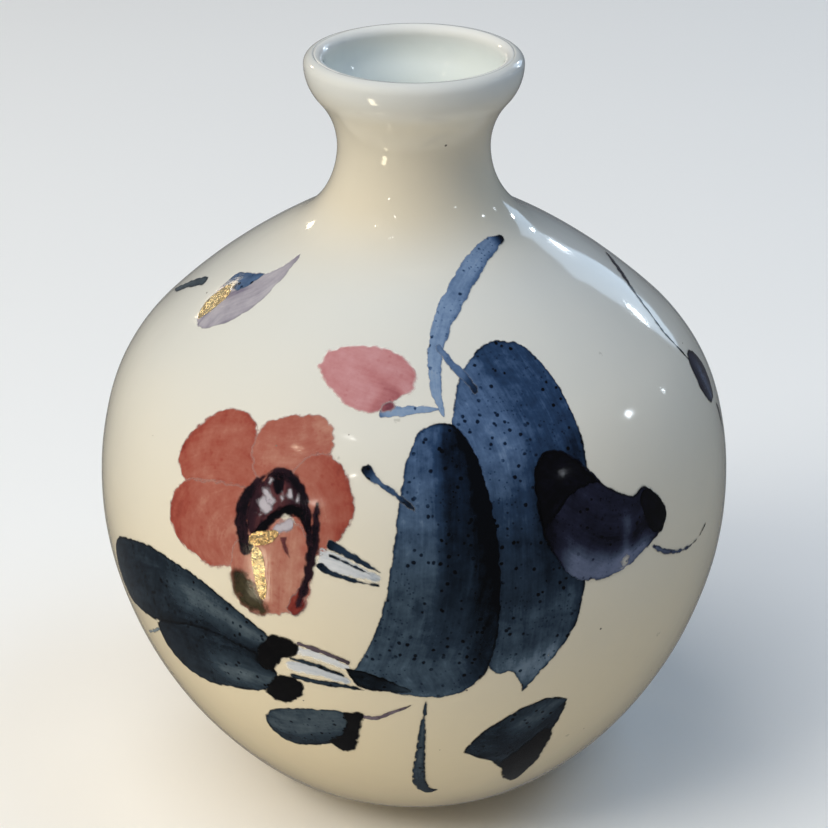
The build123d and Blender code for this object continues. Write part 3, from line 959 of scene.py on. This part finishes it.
stamens = [
    ([(-27.9, 65.6), (-26.0, 64.4), (-24.9, 63.6)], [0.8, 1.25, 0.8]),
    ([(-27.2, 67.2), (-26.0, 65.9), (-24.4, 65.0)], [0.6, 1.0, 0.7]),
    ([(-26.0, 68.3), (-26.4, 67.0)], [0.55, 0.55]),
    ([(-23.9, 66.8), (-22.9, 65.3)], [0.7, 0.6]),
    ([(-22.4, 67.7), (-21.9, 66.4), (-21.6, 65.6)], [0.5, 0.75, 0.5]),
    ([(-20.8, 67.2), (-20.4, 65.4)], [0.6, 0.5]),
    ([(-24.2, 61.2), (-22.4, 62.5), (-20.2, 63.2)], [0.7, 1.2, 0.7]),
    ([(-28.4, 63.6), (-26.6, 62.9)], [0.4, 0.6]),
]
for count, (centre, widths) in enumerate(stamens):
    stroke(
        f"stamen_{count + 1}", centre, widths, lambda u, v: 0.12 + 0.5 * (2 * abs(u - 0.5)) ** 3,
        lavender, 9, along=24,
    )

# ---------------------------------------------------------------- gilding
# Gold lustre, painted on last and fired low: a crinkled, slightly worn metal skin in a tongue down from
# the heart, with a short flourish across its top.
gold_stops = [
    (0.0, (0.900, 0.740, 0.440)),
    (0.5, (0.700, 0.490, 0.240)),
    (0.8, (0.310, 0.189, 0.077)),
    (1.0, (0.052, 0.034, 0.0172)),
]


def gold_finish():
    material, pen = finish("gold_lustre")
    place = pen.node("ShaderNodeTexCoord", output="Object")
    edge = pen.node("ShaderNodeAttribute", {"attribute_name": "edge"}, output="Fac")
    tone = pen.node("ShaderNodeAttribute", {"attribute_name": "tone"}, output="Fac")
    crinkle = pen.noise(place, 1100.0, 3.0, 0.55)
    wear = pen.noise(place, 900.0, 3.0, 0.6)
    shade = tone + (wear - 0.5) * 1.5 + edge.rise(0.35, 0.0) * 0.25
    colour = pen.node("ShaderNodeValToRGB", {"stops": gold_stops}, {0: shade})
    bump = pen.node("ShaderNodeBump", None, {"Strength": 0.8, "Distance": 0.0004, "Height": crinkle})
    surface(
        pen,
        {
            "Base Color": colour,
            "Metallic": shade.rise(0.95, 0.6) * 0.75,
            "Roughness": crinkle * 0.3 + 0.10,
            "Alpha": (edge - wear * 0.35).rise(-0.05, 0.12),
            "Normal": bump,
        },
    )
    return material


gold = gold_finish()
stroke(
    "gilded_tongue", [(-27.4, 58.9), (-26.9, 57.2), (-26.4, 55.0), (-25.9, 53.0), (-25.6, 51.0)],
    [0.6, 1.15, 1.1, 1.0, 0.45],
    lambda u, v: 0.18 + 0.25 * step(v, 0.6, 1.0) + 0.25 * step(v, 0.12, 0.0), gold, 11,
    "camellia_gilding",
)
stroke(
    "gilded_flourish", [(-28.8, 59.2), (-26.8, 60.0), (-25.2, 60.5), (-23.2, 61.6)],
    [0.6, 1.2, 1.1, 0.4], even(0.50), gold, 12, along=30,
)

# ---------------------------------------------------------------- bud, stalk and spur
# The bud is a rose wash folded over by two darker touches; the stalk under the flower is two wet strokes
# with chalky white between them, and the spur a single comma of blue with a black head.
rose_stops = [
    (0.0, (0.516, 0.275, 0.284)),
    (0.4, (0.413, 0.163, 0.168)),
    (0.7, (0.292, 0.086, 0.095)),
    (0.9, (0.129, 0.034, 0.052)),
    (1.0, (0.052, 0.0172, 0.030)),
]
rose = pigment_finish(
    "rose", rose_stops, streak=0.22, blotch=0.4, pool=0.06, specks=0.12, feather=0.5, gloss=0.5,
    painted_edge_light=0.5,
)
wash(
    "bud_wash",
    [
        (-24.4, 80.4), (-23.6, 81.7), (-20.6, 82.5), (-15.2, 83.0), (-8.4, 83.0), (-3.0, 82.3),
        (0.2, 81.2), (1.3, 79.9), (-0.4, 78.6), (-2.8, 78.0),
    ],
    [
        (-24.4, 80.4), (-22.4, 79.4), (-18.6, 78.0), (-13.6, 76.6), (-9.7, 76.3), (-6.0, 76.8),
        (-2.8, 78.0),
    ],
    lambda u, v: 0.26 + 0.28 * hump(u, 0.30 + 0.3 * v, 0.08) * step(v, 0.35, 0.6)
    + 0.30 * step(u, 0.45, 0.7) * step(v, 0.62, 0.72) + 0.22 * step(u, 0.3, 0.0) * step(v, 0.5, 0.8),
    rose, 3, "camellia_bud", along=100,
)
stroke(
    "bud_cup", [(-7.6, 76.9), (-5.4, 77.2), (-3.2, 77.8)], [0.4, 0.65, 0.3], even(0.86), rose, 4,
    along=24,
)
chalk_stops = [
    (0.0, (0.600, 0.610, 0.630)),
    (0.4, (0.360, 0.395, 0.440)),
    (0.7, (0.090, 0.110, 0.140)),
    (1.0, (0.016, 0.019, 0.026)),
]
chalk = pigment_finish(
    "chalk_white", chalk_stops, streak=0.5, blotch=0.2, pool=0.0, specks=0.1, feather=0.5, painted_edge_light=0.5,
)
stroke(
    "flower_stalk_stroke", [(-16.4, 58.8), (-13.4, 58.4), (-9.6, 57.6), (-5.0, 56.6)],
    [1.9, 1.7, 1.2, 0.8], lambda u, v: 0.20 + 0.25 * step(v, 0.5, 1.0), chalk, 3, "flower_stalk",
    across=20,
)
for name, centre, widths in (
    (
        "stalk_line_top", [(-14.8, 61.0), (-11.5, 60.1), (-8.2, 58.7), (-5.0, 57.4)],
        [0.85, 0.75, 0.5, 0.35],
    ),
    ("stalk_line_middle", [(-14.4, 59.4), (-11.0, 58.6), (-7.0, 57.2)], [0.4, 0.35, 0.25]),
    (
        "stalk_line_low", [(-16.2, 58.2), (-14.4, 57.2), (-10.4, 56.3), (-5.4, 55.7)],
        [0.75, 0.65, 0.45, 0.4],
    ),
):
    stroke(
        name, centre, widths, lambda u, v: 0.62 + 0.28 * step(v, 0.3, 0.0) + 0.2 * step(v, 0.8, 1.0),
        thin_cobalt, 4, along=40,
    )
stroke(
    "flower_spur_stroke", [(-9.2, 71.2), (-8.0, 70.2), (-6.0, 69.2), (-3.2, 67.9), (0.4, 66.0)],
    [0.85, 0.75, 0.55, 0.5, 0.45],
    lambda u, v: 0.38 + 0.55 * step(v, 0.28, 0.08) + 0.4 * step(v, 0.6, 0.85), thin_cobalt, 6,
    "flower_spur", along=40,
)

# ---------------------------------------------------------------- side leaves
# Two navy leaves spread to the left, dark at the tips and wiped to a grey-blue gleam down the middle,
# their roots blotted black; their stems cross to the middle as chalky strokes between dark lines.
navy_stops = [
    (0.0, (0.215, 0.258, 0.284)),
    (0.3, (0.076, 0.101, 0.120)),
    (0.55, (0.024, 0.038, 0.053)),
    (0.8, (0.0069, 0.0120, 0.0189)),
    (1.0, (0.0015, 0.0019, 0.0026)),
]
navy = pigment_finish("navy", navy_stops, streak=0.22, blotch=0.3, pool=0.2, specks=0.4)
wash(
    "lower_side_leaf_wash",
    [
        (-53.4, 38.0), (-49.0, 41.6), (-42.0, 44.2), (-35.5, 44.0), (-30.3, 43.4), (-26.4, 41.6),
        (-23.4, 38.0),
    ],
    [
        (-53.4, 38.0), (-52.4, 34.9), (-49.0, 32.4), (-42.4, 31.6), (-33.4, 33.2), (-27.4, 34.6),
        (-23.4, 38.0),
    ],
    lambda u, v: 0.80 - 0.40 * hump(u, 0.66, 0.26) * step(v, 0.38, 0.70) + 0.10 * step(v, 0.3, 0.0),
    navy, 1, "lower_side_leaf", along=110,
)
wash(
    "upper_side_leaf_wash",
    [
        (-68.4, 40.6), (-68.2, 44.6), (-65.4, 48.0), (-59.4, 50.4), (-52.7, 52.0), (-45.0, 52.0),
        (-39.0, 51.3), (-33.6, 49.6), (-28.4, 47.4), (-23.0, 44.6),
    ],
    [
        (-68.4, 40.6), (-66.0, 37.8), (-59.4, 37.6), (-53.0, 38.6), (-46.0, 40.8), (-40.6, 42.3),
        (-35.5, 42.6), (-30.3, 41.9), (-26.4, 41.6), (-23.0, 44.6),
    ],
    lambda u, v: 0.80 - 0.38 * hump(u, 0.42, 0.30) * step(v, 0.42, 0.66)
    + 0.15 * step(u, 0.8, 1.0) * step(v, 0.8, 0.4),
    navy, 2, "upper_side_leaf", along=120,
)
for name, left, right in (
    (
        "upper_leaf_root", [(-28.2, 41.0), (-27.2, 43.0), (-25.0, 45.7), (-22.0, 46.0), (-19.2, 44.9)],
        [(-28.2, 41.0), (-25.9, 38.9), (-24.0, 40.0), (-22.6, 41.6), (-20.0, 42.9), (-19.2, 44.9)],
    ),
    (
        "lower_leaf_root", [(-27.6, 34.6), (-26.0, 36.8), (-24.2, 38.8), (-21.8, 39.2), (-19.4, 38.4)],
        [(-27.6, 34.6), (-25.6, 33.2), (-23.2, 33.2), (-21.0, 34.4), (-19.3, 36.2), (-19.4, 38.4)],
    ),
):
    wash(name, left, right, even(0.98), root_black, 5, along=50)
for name, centre, widths, tint in (
    ("stem_chalk_top", [(-20.6, 44.0), (-15.2, 43.4), (-10.4, 41.9)], [0.9, 1.0, 0.6], 0.12),
    ("stem_chalk_low", [(-22.4, 40.9), (-16.2, 40.8), (-10.4, 39.6)], [1.1, 1.2, 0.7], 0.28),
):
    stroke(
        name, centre, widths, lambda u, v, tint=tint: tint - 0.1 + 0.15 * v, chalk, 3,
        along=40,
    )
stroke(
    "upper_stem_line", [(-19.8, 45.2), (-14.8, 44.3), (-10.6, 43.0)], [0.4, 0.45, 0.45],
    lambda u, v: 0.50 + 0.25 * v, line_black, 6, "upper_side_stem",
)
stroke(
    "middle_stem_line", [(-21.6, 42.3), (-16.6, 41.9), (-11.4, 40.5)], [0.4, 0.5, 0.4],
    lambda u, v: 0.52 + 0.2 * v, navy, 6,
)
stroke(
    "lower_stem_line", [(-21.8, 39.3), (-18.0, 38.9), (-13.0, 38.8), (-8.0, 38.3)],
    [0.5, 0.6, 0.6, 0.35], lambda u, v: 0.62 + 0.2 * step(v, 0.6, 1.0), navy, 4, "lower_side_stem",
)
wash(
    "stem_wedge", [(-11.8, 42.2), (-9.0, 42.2), (-5.6, 41.3), (-2.4, 40.0), (0.4, 38.3)],
    [(-11.8, 42.2), (-10.8, 40.4), (-9.0, 38.6), (-5.0, 38.3), (0.4, 38.3)],
    lambda u, v: 0.95 - 0.45 * step(v, 0.4, 1.0), navy, 7, along=40,
)
stroke(
    "leaf_shadow_stroke", [(-60.0, 33.4), (-56.4, 35.2), (-52.6, 37.4)], [0.25, 0.4, 0.3],
    lambda u, v: -0.06 + 0.1 * v, navy, 1, along=30,
)

# ---------------------------------------------------------------- low leaves and bottom stem
# A small leaf left of the stem, its end blotted, a broad dark one to the right, and the stem drawn on
# down between them until the brush is lifted with a hook.
wash(
    "small_leaf_wash",
    [
        (-29.2, 28.2), (-28.4, 30.0), (-25.6, 31.6), (-22.0, 32.7), (-17.0, 33.5), (-12.0, 33.5),
        (-9.8, 32.2),
    ],
    [
        (-29.2, 28.2), (-28.9, 26.2), (-27.4, 24.6), (-24.4, 23.8), (-19.6, 24.6), (-15.6, 25.8),
        (-11.6, 27.6), (-9.8, 32.2),
    ],
    lambda u, v: 0.46 + 0.30 * step(u, 0.55, 0.9) + 0.24 * step(v, 0.16, 0.0), navy, 1, "small_leaf",
    along=90,
)
wash(
    "small_leaf_root",
    [(-13.0, 33.4), (-11.0, 33.9), (-8.6, 33.8), (-9.2, 31.4), (-10.0, 28.4), (-11.2, 24.9)],
    [(-13.0, 33.4), (-12.8, 30.6), (-14.2, 28.4), (-16.6, 26.2), (-14.8, 24.5), (-11.2, 24.9)],
    even(0.98), root_black, 3, along=50,
)
stroke(
    "small_leaf_stem_stroke", [(-9.6, 33.2), (-6.8, 32.9), (-3.8, 34.3), (-0.4, 35.9)],
    [0.55, 0.45, 0.35, 0.3], lambda u, v: 0.42 + 0.5 * step(v, 0.8, 1.0), line_black, 2,
    "small_leaf_stem", along=40,
)
wash(
    "low_leaf_wash",
    [(9.2, 24.6), (11.6, 28.2), (15.6, 31.3), (20.6, 33.6), (25.6, 34.0), (29.0, 32.6)],
    [
        (9.2, 24.6), (12.4, 23.0), (16.4, 20.8), (19.4, 18.2), (23.6, 19.6), (26.0, 23.4), (28.4, 28.0),
        (29.0, 32.6),
    ],
    lambda u, v: 0.80 - 0.30 * hump(u, 0.30, 0.2) * step(v, 0.35, 0.6), navy, 2, "low_leaf", along=110,
)
wash(
    "low_leaf_root",
    [
        (17.6, 19.8), (20.0, 22.4), (23.0, 25.0), (26.2, 27.4), (27.8, 26.2), (28.2, 22.0),
        (27.6, 17.0), (25.8, 13.2),
    ],
    [(17.6, 19.8), (19.2, 17.6), (20.8, 15.0), (23.4, 13.2), (25.8, 13.2)], even(0.97), root_black, 4,
    along=70,
)
stroke(
    "bottom_stem_stroke",
    [
        (2.1, 37.3), (1.8, 33.6), (1.5, 30.0), (1.2, 24.4), (1.0, 19.6), (1.6, 15.8), (3.2, 14.0),
        (5.6, 14.2),
    ],
    [0.2, 0.45, 0.6, 0.85, 1.05, 1.1, 1.0, 0.5],
    lambda u, v: 0.46 + 0.2 * step(v, 0.5, 0.95) + 0.16 * step(u, 0.3, 0.0), navy, 4, "bottom_stem",
    along=100,
)

# ---------------------------------------------------------------- shoulder leaves and twig
# Round the left shoulder a lilac leaf gilded along its low end and a dark one behind; round the
# right shoulder a thin twig with a small blossom and a bud.
mauve_stops = [
    (0.0, (0.430, 0.413, 0.447)),
    (0.4, (0.284, 0.267, 0.310)),
    (0.75, (0.129, 0.112, 0.172)),
    (1.0, (0.034, 0.030, 0.060)),
]
mauve = pigment_finish("mauve", mauve_stops, streak=0.4, blotch=0.35, pool=0.18, specks=0.05, painted_edge_light=0.4)
wash(
    "shoulder_leaf_wash",
    [
        (-66.0, 79.0), (-70.4, 80.0), (-73.4, 81.8), (-74.4, 83.4), (-71.4, 85.2), (-65.5, 86.2),
        (-59.6, 87.2), (-57.6, 88.4), (-56.6, 89.8),
    ],
    [
        (-66.0, 79.0), (-59.6, 80.4), (-55.4, 82.2), (-52.2, 84.8), (-52.2, 86.8), (-53.6, 88.4),
        (-56.6, 89.8),
    ],
    lambda u, v: 0.30 + 0.14 * step(v, 0.75, 1.0) + 0.40 * step(v, 0.16, 0.0)
    + 0.35 * hump(u, 0.42, 0.06) * step(v, 0.75, 0.5),
    mauve, 1, "shoulder_leaf",
)
wash(
    "shoulder_leaf_blue", [(-73.6, 83.0), (-74.4, 84.4), (-70.4, 85.6), (-65.0, 86.2), (-61.4, 86.8)],
    [(-73.6, 83.0), (-69.0, 83.6), (-64.6, 84.0), (-62.6, 85.0), (-61.4, 86.8)],
    lambda u, v: 0.35 + 0.5 * hump(v, 0.35, 0.12) * step(u, 0.5, 0.9), thin_cobalt, 2,
    along=40,
)
wash(
    "shoulder_gilding", [(-68.2, 79.6), (-71.6, 80.3), (-73.4, 81.6), (-73.0, 82.8), (-68.6, 83.6)],
    [(-68.2, 79.6), (-67.2, 80.6), (-66.4, 81.8), (-66.2, 82.8), (-68.6, 83.6)], even(0.08), gold, 4,
    "shoulder_leaf_gilding", along=40,
)
wash(
    "back_shoulder_leaf_wash",
    [(-101.0, 76.4), (-95.9, 78.9), (-91.0, 80.9), (-84.6, 82.0), (-83.0, 81.4)],
    [(-101.0, 76.4), (-95.0, 77.4), (-90.0, 79.3), (-86.4, 80.4), (-83.0, 81.4)], even(0.45), navy, 1,
    "back_shoulder_leaf",
)
stroke(
    "twig_stroke",
    [
        (103.0, 82.6), (96.0, 82.3), (88.0, 81.3), (83.0, 79.9), (79.2, 77.8), (76.9, 75.8),
        (76.7, 73.8), (78.0, 70.6),
    ],
    [0.25, 0.5, 0.5, 0.4, 0.45, 0.4, 0.4, 0.3], lambda u, v: 0.60 + 0.25 * step(v, 0.4, 0.6), violet, 1,
    "twig",
)
wash(
    "twig_blossom_wash", [(78.2, 72.4), (75.0, 70.8), (73.8, 68.6), (75.0, 66.2), (77.8, 65.2)],
    [(78.2, 72.4), (81.8, 72.0), (84.0, 70.2), (83.2, 67.6), (80.6, 65.6), (77.8, 65.2)],
    lambda u, v: 0.60 - 0.35 * hump(u, 0.5, 0.2) * step(v, 0.2, 0.5), violet, 2, "twig_blossom",
    along=50,
)
stroke(
    "twig_bud_stroke", [(80.0, 64.2), (81.0, 62.4), (81.2, 61.0), (80.6, 59.2)], [0.35, 0.6, 0.6, 0.2],
    even(0.55), violet, 2, "twig_bud", along=40,
)

# ---------------------------------------------------------------- specks in the glaze
# Iron in the clay breaks through the glaze as pinhead brown dots, raised a little. They are flattened
# beads scattered over the outside, most of them much smaller than the largest.


def speck_tree():
    """Scatter flattened beads over the glaze's outer side. Size is the largest bead's radius."""
    tree = bpy.data.node_groups.new("specks", "GeometryNodeTree")
    for name, kind in (
        ("Geometry", "NodeSocketGeometry"),
        ("Glaze", "NodeSocketObject"),
        ("Density", "NodeSocketFloat"),
        ("Size", "NodeSocketFloat"),
        ("Seed", "NodeSocketInt"),
        ("Iron", "NodeSocketMaterial"),
    ):
        tree.interface.new_socket(name, in_out="INPUT", socket_type=kind)
    tree.interface.new_socket("Geometry", in_out="OUTPUT", socket_type="NodeSocketGeometry")
    pen = Wire(tree)
    given = tree.nodes.new("NodeGroupInput")
    _, glaze_object, density, size, seed, iron = (Wire(tree, given.outputs[place]) for place in range(6))
    under = pen.node("GeometryNodeObjectInfo", None, {"Object": glaze_object}, "Geometry")
    radius_x, radius_y, _ = pen.node("GeometryNodeInputPosition").parts()
    outward_x, outward_y, _ = pen.node("GeometryNodeInputNormal").parts()
    faces_out = pen.node(
        "FunctionNodeCompare",
        {"data_type": "FLOAT", "operation": "GREATER_THAN"},
        {0: radius_x * outward_x + radius_y * outward_y, 1: 0.0},
    )
    scatter = pen.node(
        "GeometryNodeDistributePointsOnFaces",
        {"distribute_method": "RANDOM"},
        {"Mesh": under, "Selection": faces_out, "Density": density, "Seed": seed},
    )
    turned = Wire(tree, scatter.socket.node.outputs["Rotation"])
    bead = pen.node("GeometryNodeMeshIcoSphere", None, {"Radius": 1.0, "Subdivisions": 2})
    flat = pen.node("GeometryNodeTransform", None, {"Geometry": bead, "Scale": (1.0, 1.0, 0.3)})
    growth = pen.node("FunctionNodeRandomValue", None, {2: 0.25, 3: 1.0, "Seed": seed}, output=1)
    copies = pen.node(
        "GeometryNodeInstanceOnPoints",
        None,
        {"Points": scatter, "Instance": flat, "Rotation": turned, "Scale": growth * growth * size},
    )
    smooth = pen.node("GeometryNodeSetShadeSmooth", None, {"Geometry": copies})
    real = pen.node("GeometryNodeRealizeInstances", None, {"Geometry": smooth})
    done = pen.node("GeometryNodeSetMaterial", None, {"Geometry": real, "Material": iron})
    pen.node("NodeGroupOutput", None, {0: done})
    return tree


def iron_speck():
    material, pen = finish("iron_speck")
    place = pen.node("ShaderNodeTexCoord", output="Object")
    tint = pen.noise(place, 700.0, 2.0)
    colour = tint.rise(0.35, 0.65).blend(rgba(0.10, 0.085, 0.07), rgba(0.26, 0.23, 0.19))
    surface(pen, {"Base Color": colour, "Roughness": tint * 0.2 + 0.1, "Coat Weight": 0.4})
    return material


specks = bpy.data.objects.new("glaze_specks", bpy.data.meshes.new("glaze_specks"))
bpy.context.scene.collection.objects.link(specks)
scatter = specks.modifiers.new("specks", "NODES")
scatter.node_group = speck_tree()
set_inputs(scatter, Glaze=outer_glaze, Density=2200.0, Size=0.22 * MM, Seed=7, Iron=iron_speck())
settle(specks)
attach(specks, "root")

# ---------------------------------------------------------------- setting
# A pale table in soft light: warm windows from the upper left, cool sky from the upper right, a cool
# window behind the right shoulder, a warm lamp behind the left, a small card in front that lights the
# gilding, and pinpoint lamps that leave the highlights on the glaze.


def pale_table():
    material, pen = finish("pale_table")
    place = pen.node("ShaderNodeTexCoord", output="Object")
    cloud = pen.noise(place, 3.0, 3.0)
    colour = cloud.rise(0.3, 0.7).blend(rgba(0.90, 0.895, 0.88), rgba(0.88, 0.875, 0.86))
    surface(pen, {"Base Color": colour, "Roughness": cloud * 0.1 + 0.55})
    return material


table_top = bmesh.new()
bmesh.ops.create_grid(table_top, x_segments=12, y_segments=12, size=3.0)
table_mesh = bpy.data.meshes.new("table")
table_top.to_mesh(table_mesh)
table_top.free()
table = bpy.data.objects.new("table", table_mesh)
bpy.context.scene.collection.objects.link(table)
table.data.materials.append(pale_table())
table.visible_glossy = False

world = bpy.data.worlds.new("daylight")
bpy.context.scene.world = world
world.use_nodes = True
world.node_tree.nodes["Background"].inputs["Color"].default_value = rgba(0.93, 0.96, 1.0)
world.node_tree.nodes["Background"].inputs["Strength"].default_value = 0.12


belly_height = 0.06


def lamp(name, azimuth, elevation, distance, size, power, colour, mirrored=True):
    """An area light facing the belly from a bearing and a height angle, both in degrees.

    A lamp that isn't mirrored is diffused by its screen and leaves no highlight on the glaze.
    """
    light = bpy.data.lights.new(name, "AREA")
    light.shape = "RECTANGLE"
    light.size, light.size_y = size
    light.energy = power
    light.color = colour
    made = bpy.data.objects.new(name, light)
    turn, rise = radians(azimuth), radians(elevation)
    aim = Vector((sin(turn) * cos(rise), -cos(turn) * cos(rise), sin(rise)))
    made.location = Vector((0, 0, belly_height)) + aim * distance
    made.rotation_euler = aim.to_track_quat("Z", "Y").to_euler()
    made.visible_glossy = mirrored
    made.visible_camera = False
    bpy.context.scene.collection.objects.link(made)


lamp("overhead_softbox", -66, 66, 1.35, (1.2, 1.2), 12.0, (1.0, 0.985, 0.96), mirrored=False)
lamp("key_window", -58, 40, 1.1, (0.55, 0.45), 4.9, (1.0, 0.945, 0.83), mirrored=False)
lamp("low_window", -42, 10, 1.2, (0.5, 0.35), 1.05, (1.0, 0.90, 0.74), mirrored=False)
lamp("cool_sky", 92, 58, 1.2, (0.8, 0.6), 4.3, (0.47, 0.69, 1.0), mirrored=False)
lamp("cool_window", 146, 16, 1.2, (0.28, 0.50), 0.75, (0.62, 0.80, 1.0))
lamp("cool_gap_low", 140, 14, 1.15, (0.03, 0.05), 0.16, (0.85, 0.93, 1.0))
lamp("cool_gap_high", 150, 19, 1.15, (0.03, 0.04), 0.14, (0.85, 0.93, 1.0))
lamp("warm_lamp", -139.0, 20.1, 1.2, (0.09, 0.08), 0.50, (1.0, 0.84, 0.60))
lamp("gilding_card", -45.9, -15.2, 0.154, (0.016, 0.038), 0.019, (1.0, 0.88, 0.62))
lamp("streak_lamp", -36.4, 56.6, 1.3, (0.09, 0.02), 0.05, (1.0, 0.98, 0.95))
lamp("left_spot_low", -35, 16, 1.3, (0.035, 0.035), 0.14, (1.0, 0.93, 0.82))
lamp("left_spot_high", -25, 34.5, 1.3, (0.03, 0.03), 0.08, (1.0, 0.95, 0.88))
lamp("petal_spot", -53.6, 41.7, 1.3, (0.035, 0.035), 0.16, (1.0, 0.86, 0.62))
lamp("right_spot_low", 57, 23, 1.3, (0.03, 0.03), 0.06, (0.85, 0.92, 1.0))
lamp("right_spot_high", 98, 26, 1.3, (0.04, 0.04), 0.16, (0.82, 0.91, 1.0))
lamp("right_spot_side", 118, 16, 1.3, (0.02, 0.06), 0.05, (0.82, 0.91, 1.0))

camera_data = bpy.data.cameras.new("camera")
camera_data.lens = 98.9
camera_data.sensor_width = 36.0
camera = bpy.data.objects.new("camera", camera_data)
camera.location = (0.0, -0.3142, 0.2125)
looking = Vector((0, 0, 0.0584)) - camera.location
camera.rotation_euler = looking.to_track_quat("-Z", "Y").to_euler()
bpy.context.scene.collection.objects.link(camera)
bpy.context.scene.camera = camera
bpy.context.scene.view_settings.view_transform = "Standard"
